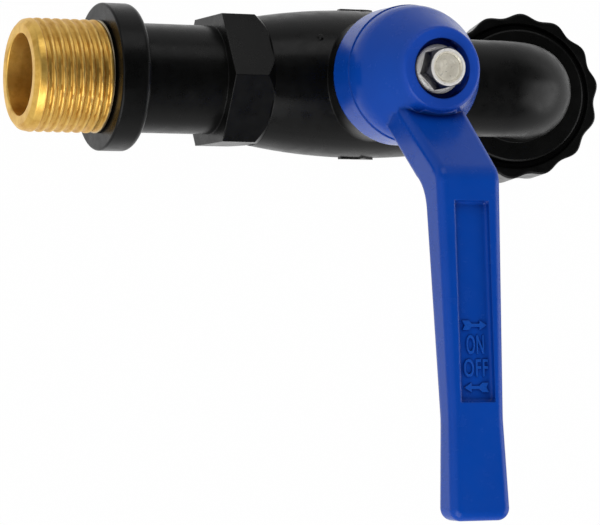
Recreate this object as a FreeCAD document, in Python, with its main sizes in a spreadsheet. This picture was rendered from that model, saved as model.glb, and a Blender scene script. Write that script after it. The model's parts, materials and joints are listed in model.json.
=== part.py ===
import FreeCAD, Part
import math
import os
import Sketcher

# A plastic quarter-turn ball tap for a garden hose, with a brass inlet thread and a cranked lever.
# Millimetres and degrees. The origin is the centre of the inlet's end face. +X runs along the tap
# from the inlet towards the spout, and +Z along the stem, towards the lever.

SIZES = [
    # Brass inlet insert
    ("inlet_thread_radius", 10.4775, "crest of a G 1/2 pipe thread"),
    ("inlet_thread_length", 15.4, "end face to the collar"),
    ("inlet_lead_radius", 9.4, "end face of the thread's lead"),
    ("inlet_lead_length", 1.6, "length of the thread's lead"),
    ("inlet_bore_radius", 7.55, "waterway in the brass"),
    ("insert_neck_radius", 9.3, "shank under the collar's front"),
    ("insert_neck_length", 0.8, "collar's front to the anchor"),
    ("anchor_flats", 19.0, "hexagon that keeps the insert from turning"),
    ("anchor_length", 1.8, "length of that hexagon"),
    ("insert_tail_radius", 9.4, "tail behind the anchor"),
    ("insert_tail_length", 2.0, "length of the tail"),
    ("insert_ring_section", 0.4, "section radius of the tail's sealing ring"),
    ("insert_ring_inset", 0.5, "tail end to the ring's groove"),
    # Black inlet connector
    ("collar_radius", 13.7, "round collar behind the thread"),
    ("collar_length", 5.85, "front to back of the collar"),
    ("collar_front_round", 0.4, "rounding of the collar's front edge"),
    ("collar_back_round", 1.3, "rounding of its back edge"),
    ("neck_radius", 10.2, "long neck"),
    ("neck_length", 16.1, "collar to the hexagon"),
    ("hexagon_flats", 23.9, "spanner hexagon across flats"),
    ("hexagon_length", 8.5, "length of the hexagon"),
    ("hexagon_chamfer_radius", 12.3, "round face left by the hexagon's chamfer"),
    ("hexagon_chamfer_length", 2.0, "length of that chamfer"),
    ("connector_bore_radius", 6.5, "waterway in the connector"),
    ("connector_ring_section", 0.8, "section radius of the spigot's sealing ring"),
    ("connector_ring_inset", 3.2, "spigot end to the ring's groove"),
    ("spigot_lead", 0.4, "chamfer on the spigot's end"),
    # Ball, seats and chamber
    ("hexagon_to_stem", 21.4, "hexagon's front face to the stem's axis"),
    ("ball_radius", 10.0, "ball"),
    ("ball_bore_radius", 6.0, "waterway in the ball"),
    ("ball_slot_width", 4.1, "slot for the stem's tongue"),
    ("ball_slot_floor", 7.2, "height of the slot's floor over the ball's centre"),
    ("ball_vent_radius", 1.0, "drain hole that faces the spout when shut"),
    ("chamber_radius", 10.3, "bore that holds the ball and the spigot"),
    ("seat_bore_radius", 6.4, "hole in each seat"),
    ("seat_front", 4.6, "ball's centre to the seat's front face"),
    ("seat_back", 10.4, "ball's centre to the seat's back face"),
    ("seat_ring_section", 0.8, "section radius of the ring behind each seat"),
    ("seat_ring_radius", 8.5, "middle of that ring"),
    # Valve body
    ("barrel_end_radius", 12.15, "barrel where it meets the hexagon"),
    ("barrel_radius", 14.05, "barrel at the stem"),
    ("barrel_tail", 12.0, "stem's axis to the barrel's shoulder"),
    ("shoulder_length", 5.5, "shoulder between barrel and spout"),
    ("waterway_radius", 6.3, "waterway in the spout"),
    ("spout_radius", 9.4, "outside of the spout"),
    ("spout_length", 30.35, "stem's axis to the bend"),
    ("bend_radius", 9.8, "middle line of the bend"),
    ("outlet_lean", 18.45, "outlet's lean from straight down"),
    ("outlet_drop", 6.9, "bend to the outlet's shoulder"),
    ("outlet_thread_radius", 13.22, "crest of a G 3/4 pipe thread"),
    ("outlet_thread_length", 13.6, "outlet's shoulder to its end face"),
    ("outlet_chamfer", 1.1, "chamfer on the outlet's end"),
    ("outlet_bore_radius", 9.2, "wide bore inside the thread"),
    ("outlet_bore_depth", 9.6, "depth of the wide bore"),
    ("gland_flange_radius", 11.4, "foot of the gland under the lever"),
    ("gland_flange_height", 17.0, "top of that foot"),
    ("gland_radius", 8.4, "gland round the stem"),
    ("gland_height", 23.6, "top of the gland"),
    ("bite", 0.2, "overlap of features that are fused"),
    ("lug_radius", 10.4, "outside of the two stop lugs"),
    ("lug_drop", 1.0, "gland's top down to the stop lugs' top"),
    # Stem and its seals
    ("stem_radius", 4.5, "stem in the gland"),
    ("tongue_length", 8.0, "length of the tongue"),
    ("tongue_floor_gap", 0.2, "gap under the tongue"),
    ("stem_collar_radius", 6.4, "collar that keeps the stem in"),
    ("stem_collar_gap", 0.4, "ball's top to the collar"),
    ("stem_collar_height", 1.8, "height of the collar"),
    ("thrust_washer_height", 0.9, "slip washer over the collar"),
    ("stem_ring_section", 0.6, "section radius of the stem's rings"),
    ("upper_ring_drop", 3.7, "gland's top down to the middle of the upper ring"),
    ("ring_spacing", 4.0, "upper ring to the lower ring"),
    ("square_flats", 6.3, "square that drives the lever"),
    ("square_length", 9.9, "length of the square over the gland"),
    ("screw_hole_depth", 14.9, "depth of the stem's threaded hole"),
    ("gland_washer_height", 0.55, "washer between gland and lever"),
    # Lever, with its heights over the gland's top
    ("travel_angle", 90.0, "shut to open"),
    ("stop_angle", 18.0, "width of each stop rib inside the lever"),
    ("stop_slack", 0.5, "angle left at each stop"),
    ("skirt_drop", 4.3, "gland's top down to the boss's lower rim"),
    ("skirt_radius", 12.8, "outside of the boss"),
    ("skirt_step", 0.2, "step over the band"),
    ("skirt_band_top", 2.2, "top of the band"),
    ("skirt_wall", 1.9, "wall of the boss"),
    ("crown_corner", 4.9, "height where the skirt's line meets the cone's"),
    ("crown_round", 9.4, "rounding between skirt and cone"),
    ("crown_radius", 7.5, "flat ring round the screw"),
    ("crown_top", 15.35, "height of that ring"),
    ("crown_edge", 0.8, "rounding of the ring's edge"),
    ("crown_wall", 1.8, "wall under the cone"),
    ("screw_recess_radius", 5.5, "recess for the screw's flange"),
    ("screw_seat", 12.9, "floor of that recess"),
    ("screw_play", 0.15, "play of the screw in the lever"),
    ("hub_radius", 6.6, "hub round the square"),
    ("cavity_top", 9.6, "ceiling of the hollow boss"),
    ("boss_rib_width", 1.2, "ribs between hub and skirt"),
    ("boss_rib_lift", 1.15, "hub's lower face up to those ribs"),
    ("stop_rib_drop", 3.4, "gland's top down to the stop ribs' lower edge"),
    ("stop_rib_top", 0.9, "upper edge of the stop ribs"),
    ("stop_rib_gap", 0.35, "gland to the stop ribs"),
    ("arm_root_half_width", 6.7, "half of the arm's width at the boss"),
    ("arm_root_reach", 8.0, "where that width ends"),
    ("elbow_reach", 19.0, "stem's axis to the elbow's ridge"),
    ("elbow_height", 26.5, "height of that ridge"),
    ("elbow_half_width", 6.15, "half of the width under the elbow"),
    ("elbow_round", 4.5, "rounding of the ridge"),
    ("crank_foot_height", 9.83, "height where the crank's top meets the screw's recess"),
    ("waist_reach", 63.0, "stem's axis to the grip's waist"),
    ("waist_rise", 2.8, "elbow's ridge up to the top of the waist"),
    ("waist_half_width", 5.3, "half of the width there"),
    ("waist_thickness", 4.5, "thickness there"),
    ("tip_reach", 80.8, "stem's axis to the tip"),
    ("tip_rise", 4.3, "elbow's ridge up to the top of the tip"),
    ("tip_half_width", 5.85, "half of the width there"),
    ("tip_thickness", 5.2, "thickness there"),
    ("tip_round", 2.2, "rounded corners of the tip"),
    ("underside_reach", 21.8, "stem's axis to the corner under the elbow"),
    ("elbow_thickness", 5.6, "elbow's ridge down to that corner"),
    ("underside_round", 9.0, "rounding of that corner"),
    ("armpit_reach", 14.1, "stem's axis to the corner over the skirt"),
    ("armpit_height", 9.3, "height of that corner"),
    ("arm_blend", 40.0, "gentle rounding where the arm's outline turns"),
    ("arm_edge", 1.7, "rounding along the arm's upper edges"),
    ("panel_start", 5.4, "elbow's ridge to the sunk panel"),
    ("panel_length", 35.6, "length of the sunk panel"),
    ("panel_width", 6.6, "width of the sunk panel"),
    ("panel_depth", 0.5, "depth of the sunk panel"),
    ("grip_top_wall", 1.9, "wall over the hollow grip"),
    ("grip_side_wall", 1.5, "side walls of the grip"),
    ("cell_start", 4.5, "elbow's ridge to the first hollow cell"),
    ("cell_length", 8.2, "length of each cell"),
    ("cell_pitch", 9.5, "one cell to the next"),
    ("cell_count", 6, "cells under the grip"),
    # Screw
    ("screw_radius", 1.97, "M4 shank"),
    ("screw_length", 16.0, "under the flange"),
    ("screw_flange_radius", 4.5, "flange"),
    ("screw_flange_height", 1.2, "flange's height"),
    ("screw_head_flats", 7.0, "head across flats"),
    ("screw_head_height", 4.8, "seat to the head's top"),
    ("screw_head_turn", 15.0, "turn of the head at rest"),
    ("screw_chamfer", 0.25, "chamfer on the tip and the head's corners"),
    ("screw_dimple_radius", 2.8, "round sunk face of the head"),
    ("screw_dimple_depth", 0.25, "its depth"),
    # Union nut
    ("nut_start", 1.6, "outlet's shoulder to the nut's upper face"),
    ("nut_radius", 16.65, "outside of the nut's lobes"),
    ("nut_mouth_radius", 14.4, "wide mouth of the nut"),
    ("nut_mouth_depth", 2.6, "depth of that mouth"),
    ("nut_lip_radius", 10.4, "hole in the nut's lip"),
    ("nut_lip_thickness", 2.2, "thickness of the lip"),
    ("nut_edge", 0.3, "chamfer on the nut's rims"),
    ("flute_count", 14, "flutes round the nut"),
    ("flute_radius", 5.9, "curve of each flute"),
    ("flute_depth", 0.85, "depth of each flute"),
    ("flute_turn", 4.2, "turn of the nut at rest"),
    # Hose washer and hose tail
    ("hose_washer_thickness", 1.6, "flat washer"),
    ("hose_washer_hole_radius", 8.2, "hole in the washer"),
    ("washer_play", 0.35, "play of washer and flange in the nut"),
    ("tail_flange_thickness", 2.2, "flange held by the nut"),
    ("tail_bore_radius", 7.2, "waterway in the tail"),
    ("tail_shank_radius", 9.0, "shank of the tail"),
    ("tail_shank_length", 5.4, "flange to the first barb"),
    ("barb_height", 0.9, "barb over the shank"),
    ("barb_pitch", 4.3, "one barb to the next"),
    ("barb_land", 0.6, "straight crest of a barb"),
    ("barb_count", 5, "barbs"),
    ("tail_tip_length", 1.6, "last barb to the tail's end"),
    # Fits
    ("running_fit", 0.05, "clearance of pieces that turn or slide in each other"),
    ("fixed_fit", 0.05, "clearance of pieces that are screwed or set together"),
    ("ring_fit", 0.03, "clearance round a sealing ring"),
]


class Size:
    """A number together with the spreadsheet expression that gives it."""

    def __init__(self, value, text):
        self.value = value
        self.text = text

    def __add__(self, other):
        return Size(self.value + number(other), f"({self.text} + {words(other)})")

    def __radd__(self, other):
        return Size(number(other) + self.value, f"({words(other)} + {self.text})")

    def __sub__(self, other):
        return Size(self.value - number(other), f"({self.text} - {words(other)})")

    def __rsub__(self, other):
        return Size(number(other) - self.value, f"({words(other)} - {self.text})")

    def __mul__(self, other):
        return Size(self.value * number(other), f"({self.text} * {words(other)})")

    __rmul__ = __mul__

    def __truediv__(self, other):
        return Size(self.value / number(other), f"({self.text} / {words(other)})")

    def __rtruediv__(self, other):
        return Size(number(other) / self.value, f"({words(other)} / {self.text})")

    def __neg__(self):
        return Size(-self.value, f"(0 - {self.text})")


def number(size):
    """The plain number of a size."""
    return size.value if isinstance(size, Size) else float(size)


def words(size):
    """The expression of a size."""
    return size.text if isinstance(size, Size) else repr(size)


def sine(angle):
    return Size(math.sin(math.radians(angle.value)), f"sin({angle.text})")


def cosine(angle):
    return Size(math.cos(math.radians(angle.value)), f"cos({angle.text})")


def slope_angle(rise, run):
    """The angle in degrees of a rise over a run."""
    value = math.degrees(math.atan(number(rise) / number(run)))
    return Size(value, f"(atan({words(rise)} / {words(run)}) / 1deg)")


def root(size):
    return Size(math.sqrt(size.value), f"sqrt({size.text})")


class Arc:
    """A step of an outline: an arc of a radius to (x, y), with its centre left or right of the way."""

    def __init__(self, x, y, radius, side):
        self.x = x
        self.y = y
        self.radius = radius
        self.side = side


class Sheet:
    """The driving sizes, kept in a spreadsheet and read as attributes."""

    def __init__(self, document, rows):
        sheet = document.addObject("Spreadsheet::Sheet", "Sizes")
        for row, (alias, value, note) in enumerate(rows, start=1):
            sheet.set(f"A{row}", alias.replace("_", " "))
            sheet.set(f"B{row}", str(value))
            sheet.setAlias(f"B{row}", alias)
            sheet.set(f"C{row}", note)
            setattr(self, alias, Size(float(value), f"Sizes.{alias}"))
        document.recompute()


def bind(thing, path, size):
    """Ties a property of an object to a size."""
    if isinstance(size, Size):
        thing.setExpression(path, size.text)
    else:
        setattr(thing, path, size)


def place(thing, x=0.0, y=0.0, z=0.0, axis=None, turn=None):
    """Puts a sub-part in the tap's frame, turned about an axis."""
    spin = FreeCAD.Rotation()
    if axis:
        spin = FreeCAD.Rotation(FreeCAD.Vector(*axis), number(turn))
    spot = FreeCAD.Vector(number(x), number(y), number(z))
    thing.Placement = FreeCAD.Placement(spot, spin)
    for path, size in (("Base.x", x), ("Base.y", y), ("Base.z", z), ("Rotation.Angle", turn)):
        if isinstance(size, Size):
            thing.setExpression(f"Placement.{path}", size.text)


def new_body(document, label):
    body = document.addObject("PartDesign::Body", label.title().replace("_", ""))
    body.Label = label
    return body


def new_sketch(body, role, label, x=0.0, y=0.0, z=0.0, axis=None, turn=None):
    """An empty sketch on one of the body's own planes, shifted and turned from it."""
    sketch = body.newObject("Sketcher::SketchObject", label)
    plane = [feature for feature in body.Origin.OriginFeatures if feature.Role == role][0]
    sketch.AttachmentSupport = [(plane, "")]
    sketch.MapMode = "FlatFace"
    spin = FreeCAD.Rotation()
    if axis:
        spin = FreeCAD.Rotation(FreeCAD.Vector(*axis), number(turn))
    spot = FreeCAD.Vector(number(x), number(y), number(z))
    sketch.AttachmentOffset = FreeCAD.Placement(spot, spin)
    for path, size in (("Base.x", x), ("Base.y", y), ("Base.z", z), ("Rotation.Angle", turn)):
        if isinstance(size, Size):
            sketch.setExpression(f"AttachmentOffset.{path}", size.text)
    return sketch


def fix(sketch, kind, places, size):
    """Adds a dimension to a sketch and ties it to its size."""
    index = sketch.addConstraint(Sketcher.Constraint(kind, *places, number(size)))
    if isinstance(size, Size):
        sketch.setExpression(f"Constraints[{index}]", size.text)


def pin_point(sketch, geometry, end, x, y):
    fix(sketch, "DistanceX", (-1, 1, geometry, end), x)
    fix(sketch, "DistanceY", (-1, 1, geometry, end), y)


def circle(sketch, x, y, radius):
    shape = Part.Circle(FreeCAD.Vector(number(x), number(y), 0), FreeCAD.Vector(0, 0, 1), number(radius))
    geometry = sketch.addGeometry(shape)
    pin_point(sketch, geometry, 3, x, y)
    fix(sketch, "Radius", (geometry,), radius)


def polygon(sketch, sides, flats, turn):
    """A regular polygon about the sketch's origin, by its width across flats."""
    corner = flats / (2 * cosine(Size(180.0 / sides, str(180.0 / sides))))
    steps = [Size(turn + 360.0 * side / sides, str(turn + 360.0 * side / sides)) for side in range(sides)]
    outline(sketch, [(corner * cosine(step), corner * sine(step)) for step in steps])


def rectangle(sketch, left, low, right, high):
    outline(sketch, [(left, low), (right, low), (right, high), (left, high)])


def arc_between(start, end, centre):
    """An arc about a centre the short way round, and the ends of it that the way meets first and last."""
    first = math.atan2(start.y - centre.y, start.x - centre.x)
    last = math.atan2(end.y - centre.y, end.x - centre.x)
    ring = Part.Circle(centre, FreeCAD.Vector(0, 0, 1), start.distanceToPoint(centre))
    if (last - first) % (2 * math.pi) < math.pi:
        return Part.ArcOfCircle(ring, first, first + (last - first) % (2 * math.pi)), 1, 2
    return Part.ArcOfCircle(ring, last, last + (first - last) % (2 * math.pi)), 2, 1


def arc_centre(start, end, radius, side):
    """The centre of an arc, to the left or right of the way from start to end."""
    middle = (start + end) * 0.5
    way = end - start
    across = FreeCAD.Vector(-way.y, way.x, 0).normalize()
    if side == "right":
        across = across * -1
    return middle + across * math.sqrt(radius ** 2 - (way.Length / 2) ** 2)


def outline(sketch, path):
    """Draws a closed outline of points (x, y), rounded corners (x, y, radius) and arcs."""
    steps = []
    for step in path:
        if isinstance(step, Arc):
            steps.append((step.x, step.y, None, step))
        else:
            steps.append((step[0], step[1], step[2] if len(step) > 2 else None, None))
    corners = [FreeCAD.Vector(number(step[0]), number(step[1]), 0) for step in steps]
    count = len(steps)
    leave = list(corners)
    arrive = list(corners)
    for index, (x, y, rounding, arc) in enumerate(steps):
        if rounding is None:
            continue
        back = (corners[index - 1] - corners[index]).normalize()
        ahead = (corners[(index + 1) % count] - corners[index]).normalize()
        cut = number(rounding) / math.tan(back.getAngle(ahead) / 2)
        arrive[index] = corners[index] + back * cut
        leave[index] = corners[index] + ahead * cut
    runs = []
    for index in range(count):
        following = (index + 1) % count
        start = leave[index]
        end = arrive[following]
        arc = steps[following][3]
        if arc:
            centre = arc_centre(start, end, number(arc.radius), arc.side)
            shape, first, last = arc_between(start, end, centre)
            geometry = sketch.addGeometry(shape)
            runs.append((geometry, first, last))
            fix(sketch, "Radius", (geometry,), arc.radius)
        else:
            runs.append((sketch.addGeometry(Part.LineSegment(start, end)), 1, 2))
    for index, (x, y, rounding, arc) in enumerate(steps):
        before, before_end = runs[index - 1][0], runs[index - 1][2]
        after, after_start = runs[index][0], runs[index][1]
        if rounding is None:
            sketch.addConstraint(Sketcher.Constraint("Coincident", before, before_end, after, after_start))
            pin_point(sketch, after, after_start, x, y)
            continue
        point = sketch.addGeometry(Part.Point(corners[index]), True)
        sketch.addConstraint(Sketcher.Constraint("PointOnObject", point, 1, before))
        sketch.addConstraint(Sketcher.Constraint("PointOnObject", point, 1, after))
        pin_point(sketch, point, 1, x, y)
        inward = (arrive[index] + leave[index]) * 0.5 - corners[index]
        reach = corners[index].distanceToPoint(arrive[index])
        centre = corners[index] + inward.normalize() * math.hypot(reach, number(rounding))
        shape, first, last = arc_between(arrive[index], leave[index], centre)
        bend = sketch.addGeometry(shape)
        sketch.addConstraint(Sketcher.Constraint("Tangent", before, before_end, bend, first))
        sketch.addConstraint(Sketcher.Constraint("Tangent", after, after_start, bend, last))
        fix(sketch, "Radius", (bend,), rounding)


def revolve(body, label, sketch, axis="V_Axis", angle=None, cut=False, middle=False, backwards=False):
    """Turns a sketch about one of its axes, a full turn unless an angle is given."""
    feature = body.newObject("PartDesign::Groove" if cut else "PartDesign::Revolution", label)
    feature.Profile = sketch
    feature.ReferenceAxis = (sketch, [axis])
    feature.Midplane = middle
    feature.Reversed = backwards
    feature.Angle = 360.0 if angle is None else number(angle)
    if angle is not None:
        bind(feature, "Angle", angle)
    return feature


def extrude(body, label, sketch, length, cut=False, middle=False, backwards=False):
    """Pads a sketch, or cuts it out, along its normal."""
    feature = body.newObject("PartDesign::Pocket" if cut else "PartDesign::Pad", label)
    feature.Profile = sketch
    feature.SideType = "Symmetric" if middle else "One side"
    feature.Reversed = backwards
    bind(feature, "Length", length)
    return feature


def polar(body, label, feature, axis, count):
    """Repeats a feature round an axis of its own sketch."""
    pattern = body.newObject("PartDesign::PolarPattern", label)
    pattern.Originals = [feature]
    pattern.Axis = (feature.Profile[0], [axis])
    pattern.Angle = 360.0
    bind(pattern, "Occurrences", count)
    body.Tip = pattern
    return pattern


def linear(body, label, feature, axis, pitch, count):
    """Repeats a feature along an axis of its own sketch."""
    pattern = body.newObject("PartDesign::LinearPattern", label)
    pattern.Originals = [feature]
    pattern.Direction = (feature.Profile[0], [axis])
    bind(pattern, "Length", pitch * (count - 1))
    bind(pattern, "Occurrences", count)
    body.Tip = pattern
    return pattern


def edges_where(feature, test):
    """Names of a feature's edges whose two ends and middle pass a test."""
    names = []
    for index, edge in enumerate(feature.Shape.Edges, start=1):
        middle = edge.valueAt((edge.FirstParameter + edge.LastParameter) / 2)
        points = [vertex.Point for vertex in edge.Vertexes] + [middle]
        if test(points):
            names.append(f"Edge{index}")
    return names


def fillet(body, label, feature, names, radius):
    rounding = body.newObject("PartDesign::Fillet", label)
    rounding.Base = (feature, names)
    bind(rounding, "Radius", radius)
    return rounding


def turned_piece(document, label, path, axis="V_Axis"):
    """A body made of one revolved outline."""
    body = new_body(document, label)
    section = new_sketch(body, "XZ_Plane", "Section")
    outline(section, path)
    revolve(body, "Turned", section, axis)
    return body


def sealing_ring(document, label, radius, section):
    """A round-section ring about its own Z axis."""
    ring = document.addObject("Part::Torus", label.title().replace("_", ""))
    ring.Label = label
    bind(ring, "Radius1", radius)
    bind(ring, "Radius2", section)
    return ring


def layout(s):
    """Places that more than one sub-part is tied to."""
    s.collar_end = s.inlet_thread_length + s.collar_length
    s.hexagon_start = s.collar_end + s.neck_length
    s.hexagon_end = s.hexagon_start + s.hexagon_length
    s.stem_x = s.hexagon_end + s.hexagon_to_stem
    s.insert_end = (s.inlet_thread_length + s.insert_neck_length + s.anchor_length
                    + s.insert_tail_length)
    s.insert_groove_floor = s.insert_tail_radius + s.ring_fit - 2 * (s.insert_ring_section + s.ring_fit)
    s.spigot_radius = s.chamber_radius - s.fixed_fit
    s.spigot_end = s.stem_x - s.seat_back - s.fixed_fit
    s.seat_radius = s.chamber_radius - s.fixed_fit
    s.chamber_end = s.stem_x + s.seat_back + s.fixed_fit
    s.seat_groove_half = s.seat_ring_section + s.ring_fit
    s.seat_groove_depth = 2 * (s.seat_ring_section + s.ring_fit) - s.fixed_fit
    s.connector_groove_floor = s.chamber_radius - 2 * (s.connector_ring_section + s.ring_fit)
    s.connector_ring_x = (s.spigot_end - s.connector_ring_inset
                          - s.connector_ring_section - s.ring_fit)
    s.collar_bottom = s.ball_radius + s.stem_collar_gap
    s.collar_top = s.collar_bottom + s.stem_collar_height
    s.recess_top = s.collar_top + s.thrust_washer_height + s.running_fit
    s.gland_bore = s.stem_radius + s.running_fit
    s.stem_groove_floor = s.gland_bore - 2 * (s.stem_ring_section + s.ring_fit)
    s.lug_angle = 180 - s.travel_angle - s.stop_angle - 2 * s.stop_slack
    s.upper_ring_height = s.gland_height - s.upper_ring_drop
    s.lower_ring_height = s.upper_ring_height - s.ring_spacing
    s.hub_bottom = s.gland_washer_height + 2 * s.running_fit
    s.boss_rib_bottom = s.hub_bottom + s.boss_rib_lift
    s.cavity_radius = s.skirt_radius - s.skirt_wall
    s.waist_height = s.elbow_height + s.waist_rise
    s.tip_height = s.elbow_height + s.tip_rise
    s.crank_slope = ((s.elbow_height - s.crank_foot_height)
                     / (s.elbow_reach - s.screw_recess_radius))
    s.bend_angle = 90 - s.outlet_lean
    s.bend_x = s.stem_x + s.spout_length
    s.outlet_x = s.bend_x + s.bend_radius * sine(s.bend_angle) + s.outlet_drop * sine(s.outlet_lean)
    s.outlet_z = s.bend_radius * (cosine(s.bend_angle) - 1) - s.outlet_drop * cosine(s.outlet_lean)
    s.leg_turn = 180 - s.outlet_lean
    s.nut_bore = s.outlet_thread_radius + s.running_fit
    s.flange_start = s.outlet_thread_length + s.hose_washer_thickness
    s.lip_start = s.flange_start + s.tail_flange_thickness + s.running_fit
    s.flange_radius = s.nut_bore - s.washer_play


def along_inlet(thing, x):
    """Places a ring made about Z on the inlet's axis."""
    place(thing, x=x, axis=(0, 1, 0), turn=90.0)


def on_leg(thing, s):
    """Places a piece made about Z on the outlet leg, its Z down the leg from the outlet's shoulder."""
    place(thing, x=s.outlet_x, z=s.outlet_z, axis=(0, 1, 0), turn=s.leg_turn)


def inlet_insert(document, s):
    body = new_body(document, "inlet_insert")
    section = new_sketch(body, "XZ_Plane", "Section")
    groove_end = s.insert_end - s.insert_ring_inset
    groove_start = groove_end - 2 * (s.insert_ring_section + s.ring_fit)
    outline(section, [
        (0, s.inlet_bore_radius),
        (0, s.inlet_lead_radius),
        (s.inlet_lead_length, s.inlet_thread_radius),
        (s.inlet_thread_length, s.inlet_thread_radius),
        (s.inlet_thread_length, s.insert_neck_radius),
        (s.inlet_thread_length + s.insert_neck_length + s.anchor_length, s.insert_neck_radius),
        (s.inlet_thread_length + s.insert_neck_length + s.anchor_length, s.insert_tail_radius),
        (groove_start, s.insert_tail_radius),
        (groove_start, s.insert_groove_floor),
        (groove_end, s.insert_groove_floor),
        (groove_end, s.insert_tail_radius),
        (s.insert_end, s.insert_tail_radius),
        (s.insert_end, s.inlet_bore_radius),
    ])
    revolve(body, "Turned", section, "H_Axis")
    anchor = new_sketch(body, "YZ_Plane", "AnchorHexagon", z=s.inlet_thread_length + s.insert_neck_length)
    polygon(anchor, 6, s.anchor_flats, 30.0)
    circle(anchor, 0, 0, s.inlet_bore_radius)
    extrude(body, "Anchor", anchor, s.anchor_length)
    return body


def inlet_connector(document, s):
    body = new_body(document, "inlet_connector")
    section = new_sketch(body, "XZ_Plane", "Section")
    outline(section, [
        (s.inlet_thread_length, 0),
        (s.inlet_thread_length, s.collar_radius, s.collar_front_round),
        (s.collar_end, s.collar_radius, s.collar_back_round),
        (s.collar_end, s.neck_radius),
        (s.hexagon_start, s.neck_radius),
        (s.hexagon_end, s.neck_radius),
        (s.hexagon_end, s.spigot_radius),
        (s.spigot_end - s.spigot_lead, s.spigot_radius),
        (s.spigot_end, s.spigot_radius - s.spigot_lead),
        (s.spigot_end, 0),
    ])
    revolve(body, "Turned", section, "H_Axis")

    hexagon = new_sketch(body, "YZ_Plane", "SpannerHexagon", z=s.hexagon_start)
    polygon(hexagon, 6, s.hexagon_flats, 30.0)
    extrude(body, "Hexagon", hexagon, s.hexagon_length)
    chamfer = new_sketch(body, "XZ_Plane", "HexagonChamfer")
    outer = s.hexagon_flats
    outline(chamfer, [
        (s.hexagon_end, s.hexagon_chamfer_radius),
        (s.hexagon_end, outer),
        (s.hexagon_end - s.hexagon_chamfer_length, outer),
        (s.hexagon_end - s.hexagon_chamfer_length, s.hexagon_flats / (2 * cosine(Size(30.0, "30")))),
    ])
    revolve(body, "ChamferedCorners", chamfer, "H_Axis", cut=True)

    bore = new_sketch(body, "XZ_Plane", "BoreSection")
    anchor_end = s.inlet_thread_length + s.insert_neck_length + s.anchor_length + s.fixed_fit
    outline(bore, [
        (s.inlet_thread_length, 0),
        (s.inlet_thread_length, s.insert_neck_radius + s.fixed_fit),
        (anchor_end, s.insert_neck_radius + s.fixed_fit),
        (anchor_end, s.insert_tail_radius + s.fixed_fit),
        (s.insert_end + s.fixed_fit, s.insert_tail_radius + s.fixed_fit),
        (s.insert_end + s.fixed_fit, s.connector_bore_radius),
        (s.spigot_end, s.connector_bore_radius),
        (s.spigot_end, 0),
    ])
    revolve(body, "Bore", bore, "H_Axis", cut=True)
    pocket = new_sketch(body, "YZ_Plane", "AnchorPocket",
                        z=s.inlet_thread_length + s.insert_neck_length - s.fixed_fit)
    polygon(pocket, 6, s.anchor_flats + 2 * s.fixed_fit, 30.0)
    extrude(body, "AnchorRoom", pocket, s.anchor_length + 2 * s.fixed_fit, cut=True, backwards=True)

    half = s.connector_ring_section + s.ring_fit
    grooves = new_sketch(body, "XZ_Plane", "RingGroove")
    rectangle(grooves, s.connector_ring_x - half, s.connector_groove_floor,
              s.connector_ring_x + half, s.chamber_radius)
    revolve(body, "SpigotGroove", grooves, "H_Axis", cut=True)
    face = new_sketch(body, "XZ_Plane", "FaceGroove")
    rectangle(face, s.spigot_end - s.seat_groove_depth, s.seat_ring_radius - s.seat_groove_half,
              s.spigot_end, s.seat_ring_radius + s.seat_groove_half)
    revolve(body, "SeatGroove", face, "H_Axis", cut=True)
    return body


def barrel(body, s):
    """The round barrel, its shoulder and the straight spout, all about the inlet's axis."""
    start = s.hexagon_end + s.fixed_fit
    rise = s.barrel_radius - s.barrel_end_radius
    run = s.hexagon_to_stem - s.fixed_fit
    sweep = (run * run + rise * rise) / (2 * rise)
    tail = s.stem_x + s.barrel_tail
    tail_radius = s.barrel_radius - sweep + root(sweep * sweep - s.barrel_tail * s.barrel_tail)
    section = new_sketch(body, "XZ_Plane", "BarrelSection")
    outline(section, [
        (start, 0),
        (start, s.barrel_end_radius),
        Arc(tail, tail_radius, sweep, "right"),
        (tail + s.shoulder_length, s.spout_radius),
        (s.bend_x, s.spout_radius),
        (s.bend_x, 0),
    ])
    revolve(body, "Barrel", section, "H_Axis")


def gland(body, s):
    """The foot and gland that carry the stem, with two stop lugs."""
    section = new_sketch(body, "XZ_Plane", "GlandSection", x=s.stem_x)
    outline(section, [
        (0, s.chamber_radius),
        (s.gland_flange_radius, 0),
        (s.gland_flange_radius, s.gland_flange_height),
        (s.gland_radius, s.gland_flange_height),
        (s.gland_radius, s.gland_height),
        (0, s.gland_height),
    ])
    revolve(body, "Gland", section)
    lug = new_sketch(body, "XZ_Plane", "LugSection", x=s.stem_x, axis=(0, 1, 0), turn=Size(45.0, "45"))
    rectangle(lug, s.gland_radius - s.bite, s.gland_flange_height - s.bite, s.lug_radius,
              s.gland_height - s.lug_drop)
    lug_solid = revolve(body, "StopLug", lug, angle=s.lug_angle, middle=True)
    polar(body, "StopLugs", lug_solid, "V_Axis", 2)


def spout_end(body, s):
    """The bend and the outlet leg with its threaded end."""
    ring = new_sketch(body, "YZ_Plane", "BendRing", z=s.bend_x)
    circle(ring, 0, 0, s.spout_radius)
    axis = ring.addGeometry(Part.LineSegment(FreeCAD.Vector(-1, -s.bend_radius.value, 0),
                                             FreeCAD.Vector(1, -s.bend_radius.value, 0)), True)
    pin_point(ring, axis, 1, -1.0, -s.bend_radius)
    pin_point(ring, axis, 2, 1.0, -s.bend_radius)
    revolve(body, "Bend", ring, "Axis0", angle=s.bend_angle)
    leg = new_sketch(body, "XZ_Plane", "LegSection", x=s.outlet_x, y=s.outlet_z,
                     axis=(0, 0, 1), turn=180 + s.outlet_lean)
    outline(leg, [
        (0, -s.outlet_drop),
        (s.spout_radius, -s.outlet_drop),
        (s.spout_radius, 0),
        (s.outlet_thread_radius, 0),
        (s.outlet_thread_radius, s.outlet_thread_length - s.outlet_chamfer),
        (s.outlet_thread_radius - s.outlet_chamfer, s.outlet_thread_length),
        (0, s.outlet_thread_length),
    ])
    revolve(body, "Leg", leg)


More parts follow.
